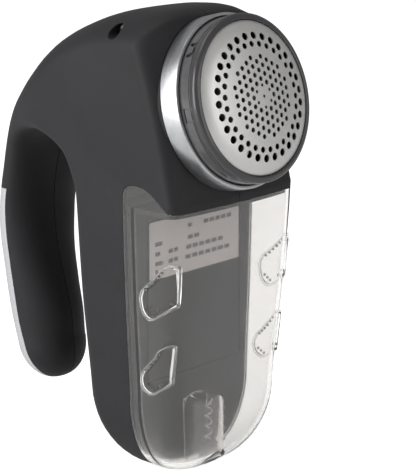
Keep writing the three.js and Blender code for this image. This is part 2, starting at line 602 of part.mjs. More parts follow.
function innerHoles() {
  const holes = [hole(0, 0, LATTICE.fineHole, 4)];
  holes.push(...onCircle(6, LATTICE.fineCircle, Math.PI / 6, (x, y) => hole(x, y, LATTICE.fineHole, 4)));
  const column = LATTICE.pitch * Math.sqrt(3) / 2;
  for (let i = -LATTICE.most; i <= LATTICE.most; i += 1) {
    for (let j = -LATTICE.most; j <= LATTICE.most; j += 1) {
      const x = i * column;
      const y = (j + (i % 2 === 0 ? 0 : 0.5)) * LATTICE.pitch;
      const radius = Math.hypot(x, y);
      if (radius > LATTICE.clear && radius < LATTICE.reach) holes.push(hole(x, y, LATTICE.hole, 4));
    }
  }
  return holes;
}

function foil() {
  const front = [];
  const back = [];
  for (const radius of [0, FOIL_SHOULDER, FOIL_R]) {
    front.push([radius, dome(radius)]);
    back.push([radius, dome(radius) - FOIL_THICK]);
  }
  const outerHoles = OUTER_HOLES.flatMap(({ count, radius, turn, diameter, sides }) =>
    onCircle(count, radius, turn, (x, y) => hole(x, y, diameter, sides)));
  const holes = [...outerHoles, ...innerHoles()];
  return solid(turned([...back, ...front.reverse()], 24)).subtract(solid(mergeGeometries(holes)));
}
piece('foil', foil(), 'foilSteel', head);

const EDGE = dome(FOIL_R);
piece('foil_rim', turned([[FOIL_R + GAP, EDGE + 0.5], [FOIL_R + GAP, RIM.back], [RIM_R, RIM.back],
  [RIM_R, RIM.outerEdge], [RIM_R - RIM.bevel[0], RIM.bevel[1]], [FOIL_R + RIM.innerStep[0], RIM.innerStep[1]],
  [FOIL_R + GAP, EDGE + 0.5]], 40), 'glossBlack', head);

function guardRing() {
  const { half, back, front, turn } = GUARD.window;
  const tube = solid(ring(CHAMBER_R + 0.7, RIM_R - GAP, SEAT + 0.8, GUARD.front, 40));
  const window = solid(block([-half, CHAMBER_R - 3, back], [half, COLLAR_R + 4, front]).rotateZ(turn));
  return tube.subtract(window);
}
piece('guard_ring', guardRing(), 'glossBlack', head);
piece('head_collar', ring(RIM_R + 0.1, COLLAR_R, SEAT + GAP, COLLAR_FRONT, 40), 'silver', head);

// Cup that the cutter turns in. Its floor has the shaft's hole and the outlet into the duct.
function cuttingChamber() {
  const [under, inside] = [SEAT - CHAMBER.floor, CHAMBER_R - CHAMBER.wall];
  const cup = solid(turned([[0, under], [CHAMBER_R, under], [CHAMBER_R, CHAMBER.front], [inside, CHAMBER.front],
    [inside, SEAT], [0, SEAT]], 36));
  return cup.subtract(solid(disc(CHAMBER.shaftHole, SEAT - 10, SEAT + 5, 16)))
    .subtract(solid(block([-LINT.half + 1, -27.5, SEAT - 10], [LINT.half - 1, -17, SEAT + 5])));
}
piece('cutting_chamber', cuttingChamber(), 'innerBlack', head);

// ---------------------------------------------------------------- cutter, shaft and motor

function bladeAt(index) {
  const shape = new THREE.Shape();
  shape.moveTo(BLADES.inner, BLADES.foot);
  shape.lineTo(BLADES.outer - BLADES.chamfer, BLADES.foot);
  shape.lineTo(BLADES.outer, dome(BLADES.outer) - BLADES.shoulder);
  for (let step = 0; step <= 4; step += 1) {
    const radius = THREE.MathUtils.lerp(BLADES.outer, BLADES.inner, step / 4);
    shape.lineTo(radius, dome(radius) - FOIL_THICK - BLADES.clearance);
  }
  shape.closePath();
  for (const [radius, size] of BLADE_EYES.at) {
    const eye = new THREE.Path();
    eye.absellipse(radius, BLADE_EYES.height, size, size * BLADE_EYES.flatness, 0, Math.PI * 2);
    shape.holes.push(eye);
  }
  return new THREE.ExtrudeGeometry(shape, { depth: BLADES.thick, bevelEnabled: false, curveSegments: 5 })
    .translate(0, 0, -BLADES.thick / 2).rotateX(Math.PI / 2).rotateZ((index * 2 * Math.PI) / 3);
}

function cutterDisc() {
  const parts = [
    solid(disc(CUTTER.radius, CUTTER.bottom, CUTTER.top, 36)),
    solid(disc(CUTTER.hub, CUTTER.hubEnd, CUTTER.top, 24)),
  ];
  for (let i = 0; i < 3; i += 1) {
    const turn = (i * 2 * Math.PI) / 3;
    const legShape = slice([[CUTTER.radius - 4, CUTTER.top], [CUTTER.radius + 4, CUTTER.top],
      [CUTTER.leg, CUTTER.bottom - 1], [CUTTER.leg - 1.5, CUTTER.hubEnd], [CUTTER.leg - 5, CUTTER.hubEnd],
      [CUTTER.radius - 1, CUTTER.bottom]], -3, 3);
    parts.push(solid(legShape.rotateZ(turn + Math.PI / 6)));
    const clip = block([CUTTER_CLIP.near, -CUTTER_CLIP.half, CUTTER.bottom + 1],
      [CUTTER_CLIP.far, CUTTER_CLIP.half, CUTTER.top + CUTTER_CLIP.height]);
    parts.push(solid(clip.rotateZ(turn)));
  }
  let body = join(parts).subtract(solid(disc(CUTTER.bore, CUTTER.hubEnd - 1, CUTTER.top - 1.2, 16)));
  for (let i = 0; i < 3; i += 1) {
    const slot = block([BLADES.inner - GAP, -BLADES.thick / 2 - GAP, BLADES.foot - GAP],
      [BLADES.outer + 2, BLADES.thick / 2 + GAP, 2]);
    body = body.subtract(solid(slot.rotateZ((i * 2 * Math.PI) / 3)));
  }
  return body;
}
piece('cutter_disc', cutterDisc(), 'innerBlack', head);
[0, 1, 2].forEach((i) => piece(`cutter_blade_${i + 1}`, bladeAt(i), 'steel', head));
piece('cutter_tip', turned([[0, CUTTER.top + GAP], [2.6, CUTTER.top + GAP], [2.4, -3], [0.9, 0.6], [0, 0.9]], 16),
  'white', head);
const cutterCoil = new Helix(CUTTER_SPRING.radius, CUTTER_SPRING.low, CUTTER_SPRING.high, CUTTER_SPRING.turns);
piece('cutter_spring', wire(cutterCoil, CUTTER_SPRING.wire, 27, 6), 'steel', head);

piece('drive_shaft', disc(MOTOR.shaft, SHAFT.back, SHAFT.front, 16), 'steel', head);
piece('motor_armature', ring(ARMATURE.inner, ARMATURE.outer, MOTOR.back + ARMATURE.inset,
  MOTOR.front - ARMATURE.inset, 24), 'copper', head);
const [noseTop, underside, inside] = [MOTOR.front + 1.6, MOTOR.front - MOTOR.wall, MOTOR.radius - MOTOR.wall];
const can = turned([[MOTOR.noseBore, noseTop], [MOTOR.noseBore, underside], [inside, underside],
  [inside, MOTOR.back], [MOTOR.radius, MOTOR.back], [MOTOR.radius, MOTOR.front], [MOTOR.nose, MOTOR.front], [MOTOR.nose, noseTop],
  [MOTOR.noseBore, noseTop]], 24);
piece('motor_can', can, 'steel', head);
piece('motor_end_cap', ring(MOTOR.noseBore, MOTOR.radius - 0.4, MOTOR.back - MOTOR.cap, MOTOR.back - GAP, 24),
  'innerBlack', head);
const plateBack = MOTOR.front + GAP;
const mountPlate = solid(block([-MOTOR_PLATE.half, MOTOR_PLATE.low, plateBack],
  [MOTOR_PLATE.half, MOTOR_PLATE.high, plateBack + MOTOR_PLATE.thick]))
  .subtract(solid(disc(MOTOR_PLATE.bore, -40, 0, 20)))
  .subtract(join([-1, 1].map((side) => solid(disc(MOTOR_PLATE.screwHole, -40, 0, 12)
    .translate(side * MOTOR_PLATE.screwX, 0, 0)))));
piece('motor_mount', mountPlate, 'innerBlack', head);
[-1, 1].forEach((side, i) => {
  piece(`motor_screw_${i + 1}`, turned(MOTOR_SCREW, 12)
    .translate(side * MOTOR_PLATE.screwX, 0, MOTOR.front + 0.4), 'steel', head);
});

// Chute from the chamber's outlet down to the window in the bin's ceiling.
function ductSpace(ease) {
  const low = BIN_TOP + GAP - ease;
  return solid(slice([[DUCT.near - ease, low], [DUCT.far + ease, low], [-32.6 + ease, 131.9 + ease],
    [-46.9 - ease, 138.4 + ease], [DUCT.near - ease, 125.4]], -DUCT.half - ease, DUCT.half + ease));
}

function lintDuct() {
  return [DUCT.mouth, DUCT.drop].reduce((body, outline) => (
    body.subtract(solid(slice(outline, -DUCT.boreHalf, DUCT.boreHalf)))), ductSpace(0));
}
piece('lint_duct', lintDuct(), 'innerBlack');

export default shaver;
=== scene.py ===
"""Looks of a battery fabric shaver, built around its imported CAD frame.

Shapes are worked out in millimetres in the body's own layout and brought into the frame in metres.
The head faces -Y, the handle is at +Y, +Z is up and X = 0 is the plane where the housing halves meet.
"""

import json
import logging
import math
from dataclasses import dataclass, field
from enum import Enum
from typing import Iterable, Sequence

import bmesh
import bpy
from mathutils import Matrix, Vector
from mathutils.bvhtree import BVHTree


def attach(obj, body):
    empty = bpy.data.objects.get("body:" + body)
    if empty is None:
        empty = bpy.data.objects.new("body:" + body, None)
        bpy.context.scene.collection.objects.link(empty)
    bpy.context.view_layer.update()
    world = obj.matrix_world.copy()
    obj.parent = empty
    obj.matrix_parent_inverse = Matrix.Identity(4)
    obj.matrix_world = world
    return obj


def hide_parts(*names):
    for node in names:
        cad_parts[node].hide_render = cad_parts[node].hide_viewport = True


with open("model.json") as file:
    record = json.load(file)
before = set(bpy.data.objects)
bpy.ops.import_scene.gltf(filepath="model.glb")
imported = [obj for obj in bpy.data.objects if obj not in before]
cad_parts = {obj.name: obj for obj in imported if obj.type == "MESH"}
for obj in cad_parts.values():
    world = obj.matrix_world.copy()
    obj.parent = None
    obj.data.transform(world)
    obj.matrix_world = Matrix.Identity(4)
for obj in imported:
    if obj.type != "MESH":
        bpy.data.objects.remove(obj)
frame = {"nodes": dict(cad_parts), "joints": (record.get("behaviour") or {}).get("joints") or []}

logging.basicConfig(level=logging.INFO, format="%(message)s")
LOG = logging.getLogger("shaver")

Pair = tuple[float, float]
Triple = tuple[float, float, float]
Colour = tuple[float, float, float, float]

MM = 0.001  # metres in a millimetre
FAR = 200.0  # beyond the object in any direction, in millimetres
SIDE = 60.0  # beyond its left and right sides
GAP = 0.3  # room between neighbouring pieces
ROUND = 96  # steps round a plain turned piece
FINE_ROUND = 160  # steps round the head's outer rings
WHITE: Colour = (1.0, 1.0, 1.0, 1.0)
DUST_COLOUR = (0.32, 0.31, 0.3)


class Operation(Enum):
    """How one solid changes another."""

    ADD = "UNION"
    CUT = "DIFFERENCE"
    KEEP = "INTERSECT"


# ---------------------------------------------------------------- solids


class Solid:
    """A closed mesh in layout millimetres that others can be added to, cut from or kept within."""

    def __init__(self, mesh: bpy.types.Mesh) -> None:
        """Wraps a closed mesh."""
        self.mesh = mesh

    @classmethod
    def of(cls, points: Sequence[Sequence[float]], faces: Sequence[Sequence[int]]) -> "Solid":
        """Builds a solid from points and faces.

        Args:
            points: Corners in millimetres.
            faces: Corner numbers of each face.

        Returns:
            The solid, with its faces turned outwards.
        """
        mesh = bpy.data.meshes.new("solid")
        mesh.from_pydata([tuple(p) for p in points], [], [list(f) for f in faces])
        work = bmesh.new()
        work.from_mesh(mesh)
        bmesh.ops.remove_doubles(work, verts=work.verts, dist=1e-4)
        bmesh.ops.recalc_face_normals(work, faces=work.faces)
        work.to_mesh(mesh)
        work.free()
        return cls(mesh)

    def moved(self, matrix: Matrix) -> "Solid":
        """Returns a copy brought elsewhere by a matrix."""
        mesh = self.mesh.copy()
        mesh.transform(matrix)
        if matrix.determinant() < 0:
            mesh.flip_normals()
        return Solid(mesh)

    def _combine(self, tool: "Solid", operation: Operation) -> "Solid":
        """Returns this solid after one boolean operation with another."""
        base, other = (bpy.data.objects.new("work", s.mesh) for s in (self, tool))
        for obj in (base, other):
            bpy.context.scene.collection.objects.link(obj)
        modifier = base.modifiers.new("boolean", "BOOLEAN")
        modifier.object = other
        modifier.operation = operation.value
        modifier.solver = "MANIFOLD"
        graph = bpy.context.evaluated_depsgraph_get()
        made = bpy.data.meshes.new_from_object(base.evaluated_get(graph))
        for obj in (base, other):
            bpy.data.objects.remove(obj)
        if not made.polygons:
            raise ValueError(f"boolean {operation.value} left nothing")
        return Solid(made)

    def _with_each(self, tools: Sequence["Solid"], operation: Operation) -> "Solid":
        """Returns this solid after the same operation with each of the others."""
        made = self
        for tool in tools:
            made = made._combine(tool, operation)
        return made

    def add(self, *tools: "Solid") -> "Solid":
        """Returns this solid joined with others."""
        return self._with_each(tools, Operation.ADD)

    def cut(self, *tools: "Solid") -> "Solid":
        """Returns this solid with others taken away."""
        return self._with_each(tools, Operation.CUT)

    def keep(self, *tools: "Solid") -> "Solid":
        """Returns what this solid shares with all the others."""
        return self._with_each(tools, Operation.KEEP)

    @staticmethod
    def gathered(parts: Iterable["Solid"]) -> "Solid":
        """Returns separate solids that don't touch as one mesh."""
        work = bmesh.new()
        for part in parts:
            work.from_mesh(part.mesh)
        mesh = bpy.data.meshes.new("solid")
        work.to_mesh(mesh)
        work.free()
        return Solid(mesh)


def lathe(profile: Sequence[Pair], segments: int = ROUND) -> Solid:
    """Turns a closed outline of (radius, height) points about Z.

    Args:
        profile: Points in order; a radius of zero lies on the axis.
        segments: Steps round the axis.

    Returns:
        The turned solid.
    """
    points: list[Triple] = []
    rows: list[list[int]] = []
    for radius, height in profile:
        if radius < 1e-6:
            rows.append([len(points)] * segments)
            points.append((0.0, 0.0, height))
            continue
        rows.append([len(points) + step for step in range(segments)])
        for step in range(segments):
            angle = 2 * math.pi * step / segments
            points.append((radius * math.cos(angle), radius * math.sin(angle), height))
    faces = []
    for index, row in enumerate(rows):
        after = rows[(index + 1) % len(rows)]
        for step in range(segments):
            turn = (step + 1) % segments
            corners = [row[step], row[turn], after[turn], after[step]]
            unique = list(dict.fromkeys(corners))
            if len(unique) >= 3:
                faces.append(unique)
    return Solid.of(points, faces)


def ring(inner: float, outer: float, low: float, high: float) -> Solid:
    """Returns a tube about Z."""
    return lathe([(inner, low), (outer, low), (outer, high), (inner, high)])


def rod(radius: float, low: float, high: float, segments: int = 48) -> Solid:
    """Returns a round bar about Z."""
    return lathe([(0, low), (radius, low), (radius, high), (0, high)], segments)


def block(low: Triple, high: Triple) -> Solid:
    """Returns a box between two opposite corners."""
    points = [(x, y, z) for z in (low[2], high[2]) for y in (low[1], high[1]) for x in (low[0], high[0])]
    faces = [(0, 2, 3, 1), (4, 5, 7, 6), (0, 1, 5, 4), (2, 6, 7, 3), (0, 4, 6, 2), (1, 3, 7, 5)]
    return Solid.of(points, faces)


def slab(low: Pair, high: Pair) -> Solid:
    """Returns a box between two (y, z) corners that is wider than the object."""
    return block((-SIDE, *low), (SIDE, *high))


def prism(outline: Sequence[Pair], low: float = -SIDE, high: float = SIDE, axis: int = 0) -> Solid:
    """Extrudes an outline along an axis.

    Args:
        outline: Its points, as (y, z) for axis 0, (x, z) for axis 1 and (x, y) for axis 2.
        low: Where it starts on the axis.
        high: Where it ends.
        axis: The axis' number.

    Returns:
        The solid.
    """
    count = len(outline)
    points = [(*pair[:axis], level, *pair[axis:]) for level in (low, high) for pair in outline]
    faces: list[Sequence[int]] = [range(count), range(2 * count - 1, count - 1, -1)]
    for step in range(count):
        turn = (step + 1) % count
        faces.append((step, turn, count + turn, count + step))
    return Solid.of(points, faces)


def bead(centre: Sequence[float], radius: float, rings: int = 8) -> Solid:
    """Returns a ball at a point."""
    profile = [(radius * math.sin(math.pi * i / rings), -radius * math.cos(math.pi * i / rings))
               for i in range(rings + 1)]
    return lathe(profile, 2 * rings).moved(Matrix.Translation(centre))


def quadratic(start: Pair, pull: Pair, end: Pair, steps: int = 12) -> list[Pair]:
    """Returns points along a curve from start to end, bent towards a third point."""
    made = []
    for step in range(1, steps + 1):
        t = step / steps
        a, b, c = (1 - t) ** 2, 2 * t * (1 - t), t * t
        made.append((a * start[0] + b * pull[0] + c * end[0], a * start[1] + b * pull[1] + c * end[1]))
    return made


def rounded(corners: Sequence[Triple], steps: int = 5) -> list[Pair]:
    """Rounds the corners of an outline.

    Args:
        corners: (x, y, radius) of each corner in order.
        steps: Points on each rounded corner.

    Returns:
        The points of the closed outline.
    """
    made: list[Pair] = []
    count = len(corners)
    for index, (x, y, radius) in enumerate(corners):
        here = Vector((x, y))
        before = Vector(corners[index - 1][:2]) - here
        after = Vector(corners[(index + 1) % count][:2]) - here
        reach_in = min(radius, before.length * 0.48)
        reach_out = min(radius, after.length * 0.48)
        if radius <= 0:
            made.append((x, y))
            continue
        start = here + before.normalized() * reach_in
        end = here + after.normalized() * reach_out
        made.append(tuple(start))
        made.extend(quadratic(tuple(start), (x, y), tuple(end), steps))
    return made


def rounded_box(low: Pair, high: Pair, radius: float) -> list[Pair]:
    """Returns the outline of a rectangle with rounded corners."""
    (x0, y0), (x1, y1) = low, high
    return rounded([(x0, y0, radius), (x1, y0, radius), (x1, y1, radius), (x0, y1, radius)])


# ---------------------------------------------------------------- the body's form


@dataclass(frozen=True)
class Station:
    """One cross-section of the body, a rectangle with oval corners.

    inner and outer are (y, z) on the arch's side and on the outside; half is half the width; the corners
    are (across, along) radii; crown is how far the outside bulges in the middle.
    """

    inner: Pair
    outer: Pair
    half: float
    inner_corner: Pair
    outer_corner: Pair
    crown: float = 0.0

    @property
    def span(self) -> float:
        """Distance from the inner to the outer side."""
        return math.dist(self.inner, self.outer)


@dataclass(frozen=True)
class RoundedEnd:
    """How an end of the body closes: its length, its lean in Y, how square it stays, and its steps."""

    length: float
    drift: float
    fullness: float
    steps: int


@dataclass
class BodyForm:
    """The outside form of the leg, the head, the arch and the handle, as one loft."""

    stations: tuple[Station, ...] = (
        Station((1.2, 32), (-49.0, 32), 34.4, (9, 9), (8, 8), 1.6),
        Station((2.7, 73), (-51.6, 73), 36.4, (7, 7), (6, 6), 1.8),
        Station((3.7, 112), (-53.6, 112), 37.5, (6, 6), (4.5, 4.5), 2.0),
        Station((5.1, 121), (-53.0, 121), 37.5, (5, 5), (5, 4.5), 1.0),
        Station((7.2, 127), (-46.4, 153), 37.5, (4, 4), (8, 6)),
        Station((9.5, 130.5), (-39.2, 182), 37.5, (4, 4), (15, 10), 0.6),
        Station((11.4, 132), (-34.5, 187.6), 37.5, (4, 4), (22, 13), 2.4),
        Station((13.6, 133.6), (-24, 188.8), 37.5, (4, 4), (24, 15), 2.8),
        Station((17, 135.5), (-6, 186.3), 37.5, (4, 4), (23, 15), 2.6),
        Station((22, 137.4), (16.5, 176.9), 37.3, (4, 4), (21, 14), 2.2),
        Station((29, 138), (35.4, 162), 35.4, (4, 4), (20, 13), 1.8),
        Station((38, 135.6), (49.4, 146.6), 31.2, (6, 4), (18, 10), 1.0),
        Station((45.5, 129), (60.4, 129), 26.2, (11, 5), (19, 9), 0.6),
        Station((50, 116), (68.4, 113), 22.4, (17, 7), (19, 10)),
        Station((52.4, 102), (73, 98), 20.8, (20, 9.4), (19, 10.6)),
        Station((52.2, 89), (74.8, 83), 19.8, (19.4, 10.8), (19, 11.4)),
        Station((50.2, 76), (74.8, 69), 18.4, (18.6, 12.6), (18.4, 12.6)),
        Station((46.3, 62), (73.6, 55), 17.5, (18, 15), (17.8, 13.8)),
        Station((42.8, 49), (71, 42.5), 16.9, (17.6, 16.6), (17.2, 14)),
        Station((42.0, 38), (68.4, 31), 16.3, (17, 14.6), (16.6, 13)),
    )
    leg_end: RoundedEnd = RoundedEnd(length=36, drift=-2, fullness=0.66, steps=14)
    handle_end: RoundedEnd = RoundedEnd(length=17, drift=-5, fullness=0.9, steps=12)
    rows_between: int = 5
    corner_steps: int = 8

    @staticmethod
    def _flowing(a: float, b: float, c: float, d: float, t: float) -> float:
        """Value between b and c on a smooth curve through four values."""
        return BodyForm._hermite(b, c, (c - a) / 2, (d - b) / 2, t)

    @staticmethod
    def _hermite(b: float, c: float, slope_b: float, slope_c: float, t: float) -> float:
        """Value between b and c for the slopes at both."""
        t2, t3 = t * t, t * t * t
        return ((2 * t3 - 3 * t2 + 1) * b + (t3 - 2 * t2 + t) * slope_b
                + (3 * t2 - 2 * t3) * c + (t3 - t2) * slope_c)

    @staticmethod
    def _steady(a: float, b: float, c: float, d: float, t: float) -> float:
        """Value between b and c that never passes beyond either."""
        def slope(before: float, after: float) -> float:
            """Slope that keeps a rise or fall going one way."""
            return 0.0 if before * after <= 0 else 2 * before * after / (before + after)

        return BodyForm._hermite(b, c, slope(b - a, c - b), slope(c - b, d - c), t)

    def _between(self, index: int, t: float) -> Station:
        """Section a share t of the way from one station to the next."""
        last = len(self.stations) - 1
        near = [self.stations[min(max(i, 0), last)] for i in range(index - 1, index + 3)]

        def pair(name: str) -> Pair:
            """Flowing value of a pair of numbers."""
            return tuple(self._flowing(*(getattr(s, name)[i] for s in near), t) for i in (0, 1))

        return Station(pair("inner"), pair("outer"), self._steady(*(s.half for s in near), t),
                       pair("inner_corner"), pair("outer_corner"), self._steady(*(s.crown for s in near), t))

    @staticmethod
    def _closing(station: Station, end: RoundedEnd, inset: float) -> list[Station]:
        """Sections that round off an end, each lower and smaller than the one before."""
        middle = [(station.inner[i] + station.outer[i]) / 2 for i in (0, 1)]
        made = []
        for step in range(1, end.steps + 1):
            angle = step / (end.steps + 0.35) * math.pi / 2
            scale = math.cos(angle) ** end.fullness
            shift = (end.drift * math.sin(angle), -(end.length - inset) * math.sin(angle))

            def shrunk(point: Pair) -> Pair:
                """Point drawn towards the middle and lowered."""
                return tuple(middle[i] + shift[i] + (point[i] - middle[i]) * scale for i in (0, 1))

            def corner(radii: Pair) -> Pair:
                """Corner radii that grow to a full oval at the tip."""
                full = (station.half, 0.49 * station.span)
                return tuple((full[i] + (radii[i] - full[i]) * scale) * scale for i in (0, 1))

            made.append(Station(shrunk(station.inner), shrunk(station.outer), station.half * scale,
                                corner(station.inner_corner), corner(station.outer_corner),
                                station.crown * scale))
        return made

    def sections(self, inset: float = 0.0) -> list[Station]:
        """Returns all sections from the foot of the leg to the tip of the handle."""
        made = [self._between(index, part / self.rows_between)
                for index in range(len(self.stations) - 1) for part in range(self.rows_between)]
        made.append(self.stations[-1])
        foot = self._closing(self.stations[0], self.leg_end, inset)
        tip = self._closing(self.stations[-1], self.handle_end, inset)
        return foot[::-1] + made + tip

    def _outline(self, section: Station, inset: float) -> list[Triple]:
        """Closed outline of one section."""
        depth = section.span
        along = [(section.outer[i] - section.inner[i]) / depth for i in (0, 1)]
        half = max(section.half - inset, 0.4)
        low = min(inset, depth / 2 - 0.3)
        high = depth - low
        limit = max((high - low) / 2 * 1.15, 0.31)

        def radii(corner: Pair) -> Pair:
            """Corner radii after the inset."""
            return (min(max(corner[0] - inset * 0.6, 0.3), half - 0.05),
                    min(max(corner[1] - inset * 0.6, 0.3), limit))

        inner_x, inner_v = radii(section.inner_corner)
        outer_x, outer_v = radii(section.outer_corner)
        outer_v = min(outer_v, high - low - inner_v - 0.05)

        def bulge(x: float) -> float:
            """How far the outside stands out at a distance from the middle."""
            return section.crown * (1 - (x / half) ** 2)

        angles = [step / self.corner_steps * math.pi / 2 for step in range(self.corner_steps + 1)]
        right: list[Pair] = [(half - inner_x + inner_x * math.sin(angle),
                              low + inner_v - inner_v * math.cos(angle)) for angle in angles]
        for angle in angles:
            x = half - outer_x + outer_x * math.cos(angle)
            right.append((x, high - outer_v + outer_v * math.sin(angle) + bulge(x)))
        right += [(x, high + bulge(x)) for x in (right[-1][0] * share for share in (0.75, 0.5, 0.25))]
        left = [(-x, v) for x, v in reversed(right)]
        ring_points = right + [(0.0, high + section.crown)] + left + [(0.0, low)]
        return [(x, section.inner[0] + along[0] * v, section.inner[1] + along[1] * v) for x, v in ring_points]

    def solid(self, inset: float = 0.0) -> Solid:
        """Returns the body's form, drawn in by an inset or, if that is negative, swollen."""
        loops = [self._outline(section, inset) for section in self.sections(inset)]
        count = len(loops[0])
        points = [point for loop in loops for point in loop]
        faces: list[Sequence[int]] = []
        for row in range(len(loops) - 1):
            for step in range(count):
                a, b = row * count + step, row * count + (step + 1) % count
                faces.append((a, b, b + count, a + count))
        faces.append(range(count))
        faces.append(range(len(points) - 1, len(points) - count - 1, -1))
        return Solid.of(points, faces)


# ---------------------------------------------------------------- node trees


class Sheet:
    """A node tree being filled in."""

    def __init__(self, tree: bpy.types.NodeTree) -> None:
        """Takes the tree to fill."""
        self.tree = tree

    def add(self, kind: str, settings: dict | None = None, **inputs: object) -> bpy.types.Node:
        """Adds a node.

        Args:
            kind: The node's type name.
            settings: Properties of the node itself.
            inputs: Values or sockets for its inputs, with _ for a space in their names.

        Returns:
            The new node.
        """
        node = self.tree.nodes.new(kind)
        for name, value in (settings or {}).items():
            setattr(node, name, value)
        for name, value in inputs.items():
            self.feed(node.inputs[name.replace("_", " ")], value)
        return node

    def feed(self, socket: bpy.types.NodeSocket, value: object) -> None:
        """Sets a socket to a value or links it."""
        if isinstance(value, bpy.types.NodeSocket):
            self.tree.links.new(value, socket)
        else:
            socket.default_value = value

    def math(self, operation: str, *values: object, clamp: bool = False) -> bpy.types.NodeSocket:
        """Returns the outcome of a Math node on values or sockets."""
        node = self.tree.nodes.new("ShaderNodeMath")
        node.operation = operation
        node.use_clamp = clamp
        for socket, value in zip(node.inputs, values):
            self.feed(socket, value)
        return node.outputs[0]

    def spread(self, value: object, source: tuple[object, object], target: Pair) -> bpy.types.NodeSocket:
        """Returns a value brought from one range to another."""
        node = self.add("ShaderNodeMapRange", {"clamp": True}, Value=value, From_Min=source[0],
                        From_Max=source[1], To_Min=target[0], To_Max=target[1])
        return node.outputs["Result"]

    def blend(self, share: object, first: object, second: object) -> bpy.types.NodeSocket:
        """Returns a mix of two colours."""
        node = self.tree.nodes.new("ShaderNodeMix")
        node.data_type = "RGBA"
        for socket, value in ((node.inputs[0], share), (node.inputs[6], first), (node.inputs[7], second)):
            self.feed(socket, value)
        return node.outputs[2]

    def place(self) -> bpy.types.NodeSocket:
        """Returns the point on the object."""
        return self.add("ShaderNodeTexCoord").outputs["Object"]


class Effect(Enum):
    """Surface effects that several materials share, each one node group."""

    GRAIN = "fine_grain"
    HANDLING = "handling_marks"
    WEAR = "edge_wear"
    MOULDING = "moulding_flow"
    TURNING = "turned_lines"
    DUST = "dust_specks"


